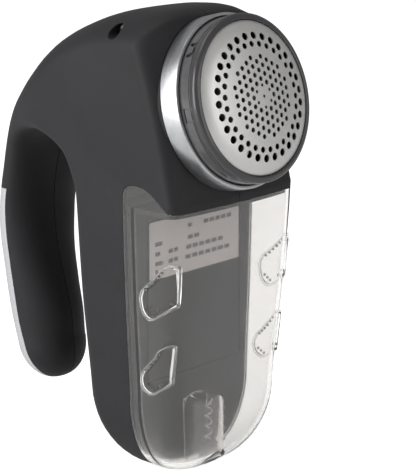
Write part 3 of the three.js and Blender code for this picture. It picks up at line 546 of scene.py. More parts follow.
class EffectShop:
    """Builds each effect's node group once."""

    def __init__(self) -> None:
        """Starts with no groups."""
        self._made: dict[Effect, bpy.types.NodeTree] = {}

    def group(self, effect: Effect) -> bpy.types.NodeTree:
        """Returns an effect's group, built on first use."""
        if effect not in self._made:
            tree = bpy.data.node_groups.new(effect.value, "ShaderNodeTree")
            self._made[effect] = tree
            getattr(self, "_" + effect.value)(tree)
        return self._made[effect]

    @staticmethod
    def _sockets(tree: bpy.types.NodeTree, inputs: dict[str, tuple[str, object]],
                 outputs: dict[str, str]) -> tuple[Sheet, bpy.types.Node, bpy.types.Node]:
        """Gives a group its named sockets.

        Args:
            tree: The group.
            inputs: Kind and usual value of each input by name.
            outputs: Kind of each output by name.

        Returns:
            The sheet to fill, the group's input node and its output node.
        """
        for name, (kind, value) in inputs.items():
            socket = tree.interface.new_socket(name, in_out="INPUT", socket_type="NodeSocket" + kind)
            socket.default_value = value
        for name, kind in outputs.items():
            tree.interface.new_socket(name, in_out="OUTPUT", socket_type="NodeSocket" + kind)
        return Sheet(tree), tree.nodes.new("NodeGroupInput"), tree.nodes.new("NodeGroupOutput")

    def _fine_grain(self, tree: bpy.types.NodeTree) -> None:
        """Tiny even bumps of a moulded or coated surface."""
        sheet, given, out = self._sockets(
            tree, {"Scale": ("Float", 2500.0), "Unevenness": ("Float", 0.5)},
            {"Height": "Float", "Mask": "Float"})
        place = sheet.place()
        fine = sheet.add("ShaderNodeTexNoise", Vector=place, Scale=given.outputs["Scale"], Detail=3.0,
                         Roughness=given.outputs["Unevenness"])
        cells = sheet.add("ShaderNodeTexVoronoi", Vector=place, Scale=given.outputs["Scale"])
        height = sheet.math("MULTIPLY_ADD", cells.outputs["Distance"], 0.45, fine.outputs["Fac"])
        sheet.feed(out.inputs["Height"], height)
        sheet.feed(out.inputs["Mask"], sheet.spread(fine.outputs["Fac"], (0.35, 0.65), (0.0, 1.0)))

    def _handling_marks(self, tree: bpy.types.NodeTree) -> None:
        """Faint smears and hairlines left by hands."""
        sheet, given, out = self._sockets(
            tree, {"Size": ("Float", 40.0), "Amount": ("Float", 0.5)}, {"Smear": "Float", "Hairline": "Float"})
        place = sheet.place()
        cloud = sheet.add("ShaderNodeTexNoise", Vector=place, Scale=given.outputs["Size"], Detail=5.0,
                          Roughness=0.62, Distortion=0.8)
        smear = sheet.spread(cloud.outputs["Fac"], (0.4, 0.72), (0.0, 1.0))
        stretched = sheet.add("ShaderNodeMapping", Vector=place, Rotation=(0.5, 0.3, 0.9),
                              Scale=(14.0, 0.7, 1.2))
        lines = sheet.add("ShaderNodeTexNoise", Vector=stretched.outputs[0], Scale=260.0, Detail=2.0)
        hair = sheet.spread(lines.outputs["Fac"], (0.68, 0.76), (0.0, 1.0))
        sheet.feed(out.inputs["Smear"], sheet.math("MULTIPLY", smear, given.outputs["Amount"]))
        sheet.feed(out.inputs["Hairline"], sheet.math("MULTIPLY", hair, given.outputs["Amount"]))

    def _edge_wear(self, tree: bpy.types.NodeTree) -> None:
        """Broken rubbing along outward edges."""
        sheet, given, out = self._sockets(
            tree, {"Reach": ("Float", 0.06), "Breakup": ("Float", 300.0)}, {"Mask": "Float"})
        pointed = sheet.add("ShaderNodeNewGeometry").outputs["Pointiness"]
        limit = sheet.math("ADD", 0.5, given.outputs["Reach"])
        edge = sheet.spread(pointed, (0.51, limit), (0.0, 1.0))
        broken = sheet.add("ShaderNodeTexNoise", Vector=sheet.place(), Scale=given.outputs["Breakup"],
                           Detail=4.0)
        chips = sheet.spread(broken.outputs["Fac"], (0.42, 0.6), (0.2, 1.0))
        sheet.feed(out.inputs["Mask"], sheet.math("MULTIPLY", edge, chips, clamp=True))

    def _moulding_flow(self, tree: bpy.types.NodeTree) -> None:
        """Slow change of tone from the way a moulding filled and cooled."""
        sheet, given, out = self._sockets(
            tree, {"Tone": ("Color", (0.5, 0.5, 0.5, 1.0)), "Other": ("Color", (0.4, 0.4, 0.4, 1.0)),
                   "Size": ("Float", 18.0)}, {"Colour": "Color", "Mask": "Float"})
        cloud = sheet.add("ShaderNodeTexNoise", Vector=sheet.place(), Scale=given.outputs["Size"], Detail=4.0,
                          Roughness=0.55, Distortion=1.2)
        mask = sheet.spread(cloud.outputs["Fac"], (0.35, 0.68), (0.0, 1.0))
        sheet.feed(out.inputs["Colour"], sheet.blend(mask, given.outputs["Tone"], given.outputs["Other"]))
        sheet.feed(out.inputs["Mask"], mask)

    def _turned_lines(self, tree: bpy.types.NodeTree) -> None:
        """Fine rings left by turning or polishing about an axis."""
        sheet, given, out = self._sockets(
            tree, {"Centre": ("Vector", (0.0, 0.0, 0.0)), "Tilt": ("Vector", (0.0, 0.0, 0.0)),
                   "Pitch": ("Float", 3000.0)}, {"Height": "Float", "Mask": "Float"})
        own = sheet.add("ShaderNodeMapping", {"vector_type": "TEXTURE"}, Vector=sheet.place(),
                        Location=given.outputs["Centre"], Rotation=given.outputs["Tilt"])
        split = sheet.add("ShaderNodeSeparateXYZ", Vector=own.outputs[0])
        x, y, z = split.outputs
        squares = [sheet.math("MULTIPLY", value, value) for value in (x, y)]
        radius = sheet.math("SQRT", sheet.math("ADD", *squares))
        angle = sheet.math("MULTIPLY", sheet.math("ARCTAN2", y, x), 0.0012)
        flat = sheet.add("ShaderNodeCombineXYZ", X=radius, Y=angle, Z=z)
        lines = sheet.add("ShaderNodeTexNoise", Vector=flat.outputs[0], Scale=given.outputs["Pitch"],
                          Detail=2.0)
        sheet.feed(out.inputs["Height"], lines.outputs["Fac"])
        sheet.feed(out.inputs["Mask"], sheet.spread(lines.outputs["Fac"], (0.35, 0.65), (0.0, 1.0)))

    def _dust_specks(self, tree: bpy.types.NodeTree) -> None:
        """Sparse pale specks that settle on upward faces."""
        sheet, given, out = self._sockets(
            tree, {"Scale": ("Float", 900.0), "Amount": ("Float", 0.5)}, {"Mask": "Float"})
        cells = sheet.add("ShaderNodeTexVoronoi", Vector=sheet.place(), Scale=given.outputs["Scale"])
        speck = sheet.spread(cells.outputs["Distance"], (0.04, 0.1), (1.0, 0.0))
        up = sheet.add("ShaderNodeSeparateXYZ", Vector=sheet.add("ShaderNodeNewGeometry").outputs["Normal"])
        lying = sheet.spread(up.outputs["Z"], (0.0, 0.9), (0.15, 1.0))
        faint = sheet.math("MULTIPLY", speck, lying)
        sheet.feed(out.inputs["Mask"], sheet.math("MULTIPLY", faint, given.outputs["Amount"], clamp=True))


EFFECTS = EffectShop()


class MaterialSheet(Sheet):
    """A material's node tree with its Principled shader."""

    def __init__(self, name: str) -> None:
        """Makes an empty material of that name."""
        self.material = bpy.data.materials.new(name)
        self.material.use_nodes = True
        super().__init__(self.material.node_tree)
        self.shader = self.tree.nodes["Principled BSDF"]
        self.out = self.tree.nodes["Material Output"]

    def effect(self, effect: Effect, **inputs: object) -> bpy.types.Node:
        """Adds a shared effect with its own values."""
        node = self.tree.nodes.new("ShaderNodeGroup")
        node.node_tree = EFFECTS.group(effect)
        for name, value in inputs.items():
            self.feed(node.inputs[name], value)
        return node

    def set(self, **inputs: object) -> None:
        """Sets the Principled shader's inputs."""
        for name, value in inputs.items():
            self.feed(self.shader.inputs[name.replace("_", " ")], value)

    def bump(self, height: object, distance: float, strength: float) -> None:
        """Lets a height feed the shader's normal."""
        node = self.add("ShaderNodeBump", Height=height, Distance=distance, Strength=strength)
        self.set(Normal=node.outputs["Normal"])


def opaque(colour: Sequence[float], factor: float = 1.0) -> Colour:
    """Returns a colour scaled and with full alpha."""
    return (colour[0] * factor, colour[1] * factor, colour[2] * factor, 1.0)


# ---------------------------------------------------------------- finishes


@dataclass(frozen=True)
class MouldedPlastic:
    """Opaque plastic, from matt soft-touch to high gloss."""

    name: str
    colour: Triple
    roughness: float
    grain_size: float = 2600.0
    grain_depth: float = 0.00003
    grain_strength: float = 0.35
    variation: float = 0.82
    smear: float = 0.5
    wear: float = 0.25
    coat: float = 0.0
    sheen: float = 0.0
    specular: float = 0.5
    dust: float = 0.35
    metallic: float = 0.0

    def material(self) -> bpy.types.Material:
        """Builds the material."""
        sheet = MaterialSheet(self.name)
        flow = sheet.effect(Effect.MOULDING, Tone=opaque(self.colour),
                            Other=opaque(self.colour, self.variation), Size=22.0)
        grain = sheet.effect(Effect.GRAIN, Scale=self.grain_size)
        hands = sheet.effect(Effect.HANDLING, Size=34.0, Amount=self.smear)
        wear = sheet.effect(Effect.WEAR, Reach=0.08, Breakup=420.0)
        worn = sheet.math("MULTIPLY", wear.outputs["Mask"], self.wear)
        rubbed = sheet.blend(worn, flow.outputs["Colour"], opaque(self.colour, 1.9))
        dust = sheet.effect(Effect.DUST, Scale=1100.0, Amount=self.dust)
        dusty = sheet.blend(dust.outputs["Mask"], rubbed, opaque(DUST_COLOUR))
        soft = sheet.math("MULTIPLY_ADD", hands.outputs["Smear"], -0.1, self.roughness)
        rough = sheet.math("MULTIPLY_ADD", grain.outputs["Mask"], 0.06, soft, clamp=True)
        sheet.set(Base_Color=dusty, Roughness=rough, Coat_Weight=self.coat, Coat_Roughness=0.12,
                  Sheen_Weight=self.sheen, Sheen_Roughness=0.45, Specular_IOR_Level=self.specular,
                  Metallic=self.metallic)
        height = sheet.math("MULTIPLY_ADD", hands.outputs["Hairline"], -0.3, grain.outputs["Height"])
        sheet.bump(height, self.grain_depth, self.grain_strength)
        return sheet.material


@dataclass(frozen=True)
class WorkedMetal:
    """Metal with fine lines about an axis, from turning, drawing or polishing."""

    name: str
    colour: Triple
    roughness: float
    pitch: float = 3200.0
    line_depth: float = 0.00002
    line_strength: float = 0.25
    smear: float = 0.5
    tarnish: float = 0.86
    metallic: float = 1.0

    def material(self, centre: Sequence[float] = (0, 0, 0), tilt: float = 0.0) -> bpy.types.Material:
        """Builds the material.

        Args:
            centre: A point on the axis of the lines, in metres.
            tilt: Turn about X that brings +Z to that axis.

        Returns:
            The material.
        """
        sheet = MaterialSheet(self.name)
        flow = sheet.effect(Effect.MOULDING, Tone=opaque(self.colour),
                            Other=opaque(self.colour, self.tarnish), Size=60.0)
        lines = sheet.effect(Effect.TURNING, Centre=tuple(centre), Tilt=(tilt, 0.0, 0.0), Pitch=self.pitch)
        hands = sheet.effect(Effect.HANDLING, Size=60.0, Amount=self.smear)
        wear = sheet.effect(Effect.WEAR, Reach=0.1, Breakup=500.0)
        bright = sheet.blend(wear.outputs["Mask"], flow.outputs["Colour"], opaque(self.colour, 1.08))
        soft = sheet.math("MULTIPLY_ADD", hands.outputs["Smear"], 0.07, self.roughness)
        rough = sheet.math("MULTIPLY_ADD", lines.outputs["Mask"], 0.06, soft, clamp=True)
        sheet.set(Base_Color=bright, Roughness=rough, Metallic=self.metallic)
        height = sheet.math("MULTIPLY_ADD", hands.outputs["Hairline"], -0.4, lines.outputs["Height"])
        sheet.bump(height, self.line_depth, self.line_strength)
        return sheet.material


@dataclass(frozen=True)
class ClearPlastic:
    """Clear plastic with a light smoke tint, which lets lamps reach what is behind it."""

    name: str
    tint: Triple
    roughness: float = 0.03
    clearness: float = 0.975
    ior: float = 1.46

    def material(self) -> bpy.types.Material:
        """Builds the material."""
        sheet = MaterialSheet(self.name)
        flow = sheet.effect(Effect.MOULDING, Tone=opaque(self.tint), Other=opaque(self.tint, 0.97), Size=30.0)
        hands = sheet.effect(Effect.HANDLING, Size=45.0, Amount=1.0)
        rough = sheet.math("MULTIPLY_ADD", hands.outputs["Smear"], 0.05, self.roughness)
        sheet.set(Base_Color=flow.outputs["Colour"], Roughness=rough, Transmission_Weight=self.clearness,
                  IOR=self.ior)
        sheet.bump(hands.outputs["Hairline"], 0.00003, 0.2)
        through = sheet.add("ShaderNodeBsdfTransparent", Color=opaque(self.tint))
        path = sheet.add("ShaderNodeLightPath")
        mix = sheet.add("ShaderNodeMixShader")
        sheet.feed(mix.inputs[0], path.outputs["Is Shadow Ray"])
        sheet.feed(mix.inputs[1], sheet.shader.outputs[0])
        sheet.feed(mix.inputs[2], through.outputs[0])
        sheet.feed(sheet.out.inputs["Surface"], mix.outputs[0])
        return sheet.material


@dataclass(frozen=True)
class PrintedPaper:
    """Sticker paper or its ink, with faint fibres."""

    name: str
    colour: Triple
    roughness: float = 0.55

    def material(self) -> bpy.types.Material:
        """Builds the material."""
        sheet = MaterialSheet(self.name)
        flow = sheet.effect(Effect.MOULDING, Tone=opaque(self.colour), Other=opaque(self.colour, 0.93),
                            Size=90.0)
        grain = sheet.effect(Effect.GRAIN, Scale=3800.0, Unevenness=0.7)
        sheet.set(Base_Color=flow.outputs["Colour"],
                  Roughness=sheet.math("MULTIPLY_ADD", grain.outputs["Mask"], 0.1, self.roughness))
        sheet.bump(grain.outputs["Height"], 0.00002, 0.2)
        return sheet.material


Finish = MouldedPlastic | WorkedMetal | ClearPlastic | PrintedPaper

SOFT_TOUCH = MouldedPlastic("soft_touch_charcoal", (0.027, 0.026, 0.029), 0.58, sheen=0.05, wear=0.2,
                            grain_strength=0.25, specular=0.36)
GLOSS_DARK = MouldedPlastic("gloss_dark_grey", (0.050, 0.048, 0.051), 0.24, grain_strength=0.08, coat=0.35,
                            smear=0.8, wear=0.3, dust=0.1)
RIM_DARK = MouldedPlastic("rim_dark_grey", (0.075, 0.072, 0.076), 0.22, grain_strength=0.06, coat=0.5,
                          smear=0.8, wear=0.2, dust=0.1)
RING_GREY = MouldedPlastic("ring_smoke_grey", (0.12, 0.118, 0.122), 0.2, grain_strength=0.06, coat=0.6,
                           smear=0.8, wear=0.2, dust=0.1)
INNER_DARK = MouldedPlastic("inner_dark_grey", (0.030, 0.029, 0.032), 0.4, grain_strength=0.06, wear=0.2)
PANEL_DARK = MouldedPlastic("panel_dark_grey", (0.013, 0.012, 0.0145), 0.5, grain_strength=0.015, specular=0.2,
                            wear=0.1, dust=0.1)
PALE_NYLON = MouldedPlastic("pale_nylon", (0.72, 0.69, 0.62), 0.5, variation=0.93, wear=0.1, dust=0.0)
SILVER_GLOSS = MouldedPlastic("silver_gloss", (0.86, 0.87, 0.89), 0.3, grain_strength=0.06, variation=0.95,
                              coat=0.5, smear=0.7, wear=0.1, dust=0.1, metallic=0.6)
CELL_JACKET = MouldedPlastic("cell_jacket_green", (0.05, 0.2, 0.09), 0.35, grain_strength=0.1, dust=0.0)
RED_SLEEVE = MouldedPlastic("wire_sleeve_red", (0.4, 0.03, 0.02), 0.5, dust=0.0)
BLACK_SLEEVE = MouldedPlastic("wire_sleeve_black", (0.02, 0.02, 0.02), 0.5, dust=0.0)
SATIN_CHROME = WorkedMetal("satin_chrome", (0.78, 0.79, 0.81), 0.27, line_strength=0.15)
FOIL_STEEL = WorkedMetal("foil_steel", (0.95, 0.94, 0.925), 0.38, pitch=2600.0, tarnish=0.96, metallic=0.7)
BLADE_STEEL = WorkedMetal("blade_steel", (0.62, 0.63, 0.65), 0.24)
SCREW_ZINC = WorkedMetal("screw_dark_zinc", (0.30, 0.30, 0.32), 0.38, tarnish=0.6)
SPRING_WIRE = WorkedMetal("spring_wire", (0.60, 0.60, 0.62), 0.3)
MOTOR_STEEL = WorkedMetal("motor_can_steel", (0.52, 0.53, 0.55), 0.32, tarnish=0.75)
WINDING = WorkedMetal("winding_copper", (0.60, 0.28, 0.13), 0.35, tarnish=0.6)
SMOKE_CLEAR = ClearPlastic("clear_light_smoke", (0.865, 0.855, 0.84))
MOULDED_EDGE = ClearPlastic("clear_moulded_edge", (0.93, 0.93, 0.925), 0.05, 0.96, 1.5)
MOULDED_DOT = ClearPlastic("clear_moulded_dot", (0.3, 0.29, 0.285), 0.06, 0.96, 1.5)
LABEL_PAPER = PrintedPaper("label_paper", (0.50, 0.46, 0.455))
LABEL_INK = PrintedPaper("label_ink", (0.10, 0.092, 0.098), 0.45)


# ---------------------------------------------------------------- placing pieces


@dataclass
class Layout:
    """Brings the layout's millimetres into the frame's metres, and head shapes to the head."""

    head_y: float = -66.0
    head_z: float = 158.0
    joint: dict = field(default_factory=lambda: next(j for j in frame["joints"] if j["name"] == "cutter_spin"))

    def __post_init__(self) -> None:
        """Works out the matrices from the spindle's place and direction."""
        self.centre = Vector(self.joint["pos_m"])
        axis = Vector(self.joint["axis"]).normalized()
        self.tilt = math.asin(axis.z)
        origin = self.centre - Vector((0.0, self.head_y, self.head_z)) * MM
        self.to_frame = Matrix.Translation(origin) @ Matrix.Scale(MM, 4)
        self.face_turn = math.pi / 2 - self.tilt
        self.to_head = (Matrix.Translation((0.0, self.head_y, self.head_z))
                        @ Matrix.Rotation(self.face_turn, 4, "X"))

    def point(self, x: float, y: float, z: float) -> Vector:
        """Returns a layout point in metres."""
        return self.to_frame @ Vector((x, y, z))

    def at_head(self, solid: Solid) -> Solid:
        """Returns a solid given about the head's axis, in the layout."""
        return solid.moved(self.to_head)


LAYOUT = Layout()


class Fitter:
    """Turns solids into finished pieces on their bodies."""

    def __init__(self) -> None:
        """Starts with no materials."""
        self._materials: dict[str, bpy.types.Material] = {}

    def material(self, finish: Finish) -> bpy.types.Material:
        """Returns a finish's material, built on first use."""
        if finish.name not in self._materials:
            if isinstance(finish, WorkedMetal):
                made = finish.material(tuple(LAYOUT.centre), LAYOUT.face_turn)
            else:
                made = finish.material()
            self._materials[finish.name] = made
        return self._materials[finish.name]

    def piece(self, name: str, solid: Solid, finish: Finish, body: str,
              replaces: Sequence[str], sharp: float = 32.0,
              more: Sequence[tuple[Solid, Finish]] = ()) -> None:
        """Makes a piece and lets it ride on its body.

        Args:
            name: The piece's name.
            solid: Its shape in layout millimetres.
            finish: Its finish.
            body: The body it moves with.
            replaces: CAD nodes it stands for.
            sharp: Edges bent more than this many degrees stay sharp.
            more: Further solids in the same piece with finishes of their own.
        """
        work = bmesh.new()
        finishes = [finish]
        for part, look in [(solid, finish), *more]:
            if look not in finishes:
                finishes.append(look)
            first = len(work.faces)
            work.from_mesh(part.mesh)
            work.faces.ensure_lookup_table()
            for face in work.faces[first:]:
                face.material_index = finishes.index(look)
        mesh = bpy.data.meshes.new(name)
        work.to_mesh(mesh)
        work.free()
        mesh.transform(LAYOUT.to_frame)
        for look in finishes:
            mesh.materials.append(self.material(look))
        mesh.shade_smooth()
        mesh.set_sharp_from_angle(angle=math.radians(sharp))
        obj = bpy.data.objects.new(name, mesh)
        bpy.context.scene.collection.objects.link(obj)
        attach(obj, body)
        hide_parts(*replaces)
        LOG.info("%s: %d faces on %s", name, len(mesh.polygons), body)

    def dress(self, node: str, finish: Finish) -> None:
        """Gives a CAD node that stays in sight a finish."""
        data = frame["nodes"][node].data
        data.materials.clear()
        data.materials.append(self.material(finish))
        LOG.info("%s: CAD node in %s", node, finish.name)


FITTER = Fitter()


# ---------------------------------------------------------------- shared spaces


@dataclass
class Spaces:
    """Places that one sub-assembly leaves free for another; ease is how much they grow for clearance."""

    form: BodyForm
    bin_back: float = -26.2
    bin_top: float = 113.8
    cover_top: float = 106.0
    chamber_radius: float = 31.2
    collar_radius: float = 35.6
    seat: float = -20.6
    door_half: float = 30.0
    door_low: float = 52.0
    door_high: float = 113.0
    door_corner: float = 4.0
    door_reach: float = 12.0
    ear_back: float = 118.0
    ear_top: float = 123.2
    duct_half: float = 15.4
    duct_front: float = -49.4

    def bin(self, ease: float) -> Solid:
        """Everything in front of the housing's lower edge, with a rounded ear on each side."""
        back, crest, top = self.bin_back + ease, self.ear_top + ease, self.bin_top + ease
        ear = (-33.5, crest)
        outline = [(-FAR, -FAR), (back, -FAR), (back, self.ear_back)]
        outline += quadratic((back, self.ear_back), (back, crest), ear)
        outline += quadratic(ear, (-39.0, crest - 0.2), (-43.5, crest - 3.7))
        return prism([*outline, (-51.0, top), (-FAR, top)])

    def cover(self, ease: float) -> Solid:
        """The rear half of the handle, split along its widest line."""
        top = self.cover_top + ease
        split = []
        for section in self.form.sections():
            if section.outer[0] > 55 and section.inner[1] < self.cover_top + 12:
                share = section.inner_corner[1] / section.span
                split.append(tuple(section.inner[i] + share * (section.outer[i] - section.inner[i])
                                   for i in (0, 1)))
        line = [(y - ease, z) for y, z in split if z <= top - 0.2]
        crossing = min(split, key=lambda p: abs(p[1] - top))
        return prism([(crossing[0] - ease, top), *line, (line[-1][0], -FAR), (FAR, -FAR), (FAR, top)])

    def door(self, ease: float) -> Solid:
        """The battery door's rounded rectangle, on the rear of the front leg."""
        half, low, high = self.door_half + ease, self.door_low - ease, self.door_high + ease
        outline = rounded_box((-half, low), (half, high), self.door_corner)
        return prism(outline, -self.door_reach, self.door_reach, axis=1)

    def duct(self, ease: float) -> Solid:
        """The chute between the cutting chamber and the bin."""
        low = self.bin_top + GAP - ease
        front, half = self.duct_front - ease, self.duct_half + ease
        outline = [(front, low), (-31.4 + ease, low), (-32.6 + ease, 131.9 + ease),
                   (-46.9 - ease, 138.4 + ease), (front, 125.4)]
        return prism(outline, -half, half)


FORM = BodyForm()
SPACES = Spaces(FORM)


# ---------------------------------------------------------------- sub-assemblies


@dataclass
class Housing:
    """The two clamshell halves, their screw, the wall panel, the label and the battery door."""

    wall: float = 2.2
    seam: float = 0.15
    screw_y: float = -19.5
    screw_z: float = 183.1
    screw_seat: float = 27.0
    screw_hole: float = 1.6
    boss_radius: float = 4.6
    recess_radius: float = 3.0
    panel_y: float = -31.0
    panel_thick: float = 2.4
    panel_rib: float = 27.7
    grooves: int = 5
    groove_top: float = 101.5
    groove_step: float = 2.4
    slot_half: Pair = (2.8, 7.5)
    rib_places: tuple[float, ...] = (-3.1, -1.5, 0.1, 1.7)
    label_low: Pair = (-27.0, 82.0)
    label_high: Pair = (26.5, 106.0)
    label_thick: float = 0.3
    label_rows: tuple[tuple[float, tuple[Pair, ...]], ...] = (
        (0.78, ((0.40, 0.46), (0.58, 0.92))),
        (0.57, ((0.06, 0.16), (0.40, 0.54))),
        (0.40, ((0.06, 0.13), (0.2, 0.34), (0.38, 0.82))),
        (0.23, ((0.06, 0.16), (0.2, 0.34), (0.37, 0.9))),
        (0.09, ((0.06, 0.1),)),
    )
    bar_height: float = 1.7
    slider_place: Pair = (42.4, 155.2)
    slider_angle: float = math.radians(-47)

    def __post_init__(self) -> None:
        """Builds the outer form and the skin once."""
        self.outer = FORM.solid()
        self.skin = self.outer.cut(FORM.solid(self.wall))

    def at_switch(self, solid: Solid) -> Solid:
        """Brings a solid given flat at the origin to the thumb switch."""
        y, z = self.slider_place
        return solid.moved(Matrix.Translation((0, y, z)) @ Matrix.Rotation(self.slider_angle, 4, "X"))

    def across(self, solid: Solid, x: float) -> Solid:
        """Lays a solid given about Z along the screw's line, from an X inwards."""
        return solid.moved(Matrix.Translation((x, self.screw_y, self.screw_z))
                           @ Matrix.Rotation(math.pi / 2, 4, "Y"))

    def shell(self) -> Solid:
        """Both halves as one, before they are split."""
        seat, chamber, collar = SPACES.seat, SPACES.chamber_radius, SPACES.collar_radius
        neck = LAYOUT.at_head(ring(chamber + 0.6, collar - 0.2, seat - 6, seat))
        allowed = self.outer.add(LAYOUT.at_head(rod(collar, seat - 6, seat, ROUND)))
        boss = self.across(rod(self.boss_radius, 0, 66), -33).keep(self.outer)
        made = self.skin.add(neck.keep(allowed), boss)
        wide, long = self.slot_half
        return made.cut(
            LAYOUT.at_head(rod(chamber + GAP, seat - 12, seat + 30, ROUND)),
            LAYOUT.at_head(rod(collar + GAP, seat, seat + 20, ROUND)),
            SPACES.bin(GAP), SPACES.cover(GAP / 2), SPACES.door(GAP), SPACES.duct(GAP),
            self.at_switch(block((-wide, -long, -10), (wide, long, 20))),
            self.across(rod(self.recess_radius, -20, 6), -self.screw_seat - 6),
            self.across(rod(self.screw_hole, 0, 60), -30))

    def halves(self) -> None:
        """The left and right halves, parted by the seam."""
        shell = self.shell()
        for name, low, high in (("left", -SIDE, -self.seam), ("right", self.seam, SIDE)):
            FITTER.piece(f"housing_shell_{name}", shell.keep(block((low, -FAR, -FAR), (high, FAR, 2 * FAR))),
                         SOFT_TOUCH, "housing", [f"housing_{name}"])

    def screw(self) -> None:
        """The screw at the bottom of the recess, with a cross in its head."""
        profile = [(0, 0), (1.9, 0.1), (2.4, 0.5), (2.6, 1.1), (2.6, 2), (1.3, 2), (1.3, 30), (0, 30)]
        body = lathe(profile, 32)
        for turn in (0.4, 0.4 + math.pi / 2):
            slot = block((-1.6, -0.28, -1), (1.6, 0.28, 1.2)).moved(Matrix.Rotation(turn, 4, "Z"))
            body = body.cut(slot)
        FITTER.piece("shell_screw", self.across(body, -self.screw_seat - GAP - 2), SCREW_ZINC, "housing",
                     ["housing_screw"])

    def panel(self) -> None:
        """The upright wall behind the bin, with its ceiling, raised frame and cross rib."""
        front, back = self.panel_y, self.panel_y + self.panel_thick
        under, top, side = SPACES.bin_top - 2, SPACES.bin_top, self.panel_rib
        outline = [(front, -FAR), (front, under), (-FAR, under), (-FAR, top), (back, top), (back, under - 2),
                   (back + 5, under - 2), (back + 5, -FAR)]
        near = FORM.solid(self.wall + GAP)
        hollow = FORM.solid(self.wall + GAP + 1.8).keep(slab((back, -FAR), (FAR, under)))
        window = block((-13, -47, under - 10), (13, -34, top + 10))
        made = prism(outline).keep(near).cut(hollow, window)
        upright = block((-0.2, front - 0.55, 40), (0.2, front + 0.1, 109))
        cross = block((-side - 0.2, front - 0.6, 38.2), (side + 0.2, front + 0.1, 39.0))
        made = made.add(*(upright.moved(Matrix.Translation((x, 0, 0))) for x in (-side, side)), cross)
        FITTER.piece("bin_wall", made, PANEL_DARK, "housing", ["bin_wall_panel"])

    def label(self) -> None:
        """A sticker whose print is only plain bars."""
        (x0, z0), (x1, z1) = self.label_low, self.label_high
        wide, high = x1 - x0, z1 - z0
        face = self.panel_y - GAP - self.label_thick
        paper = prism(rounded_box(self.label_low, self.label_high, 1.2), face, face + self.label_thick, axis=1)
        bars = []
        for level, runs in self.label_rows:
            low = z0 + high * level
            for start, end in runs:
                dashes = max(1, round((end - start) * 14))
                step = (end - start) / dashes
                for dash in range(dashes):
                    left = start + step * dash
                    bars.append(block((x0 + wide * left, face - 0.04, low),
                                      (x0 + wide * (left + step * 0.8), face + 0.02, low + self.bar_height)))
        FITTER.piece("label_sticker", paper, LABEL_PAPER, "housing", ["rating_label"],
                     more=[(Solid.gathered(bars), LABEL_INK)])

    def door(self) -> None:
        """The battery door with finger grooves near its top."""
        made = self.skin.keep(SPACES.door(0))
        for step in range(self.grooves):
            level = self.groove_top - self.groove_step * step
            half = 11 - 1.2 * step
            bottom = (0.4 + 0.03 * (level - 112), level)
            made = made.cut(prism([bottom, (4, level - 0.9), (4, level + 0.9)], -half, half))
        FITTER.piece("door_shell", made, SOFT_TOUCH, "battery_door", ["battery_door"])

    def switch(self) -> None:
        """The thumb slider with rounded ribs."""
        plate = prism(rounded_box((-4, -5.5), (4, 3), 1), 2.2, 3.4, axis=2)
        stem = block((-2.4, -3.6, -4.2), (2.4, 0.6, 2.6))
        ribs = []
        for y in self.rib_places:
            arc = [(y + 0.5 * math.cos(a), 3.3 + 0.75 * math.sin(a))
                   for a in (math.pi * i / 6 for i in range(7))]
            ribs.append(prism([*arc, (y - 0.5, 3.0), (y + 0.5, 3.0)][::-1], -3.4, 3.4))
        FITTER.piece("thumb_slider", self.at_switch(plate.add(stem, *ribs)), GLOSS_DARK, "switch_slider",
                     ["switch_slider"])

    def handle_cover(self) -> None:
        """The silver rear half of the handle."""
        made = self.skin.keep(SPACES.cover(-GAP / 2))
        FITTER.piece("handle_back", made, SILVER_GLOSS, "housing", ["handle_cover"])

    def build(self) -> None:
        """Builds every piece."""
        self.halves()
        self.screw()
        self.panel()
        self.label()
        self.door()
        self.switch()
        self.handle_cover()


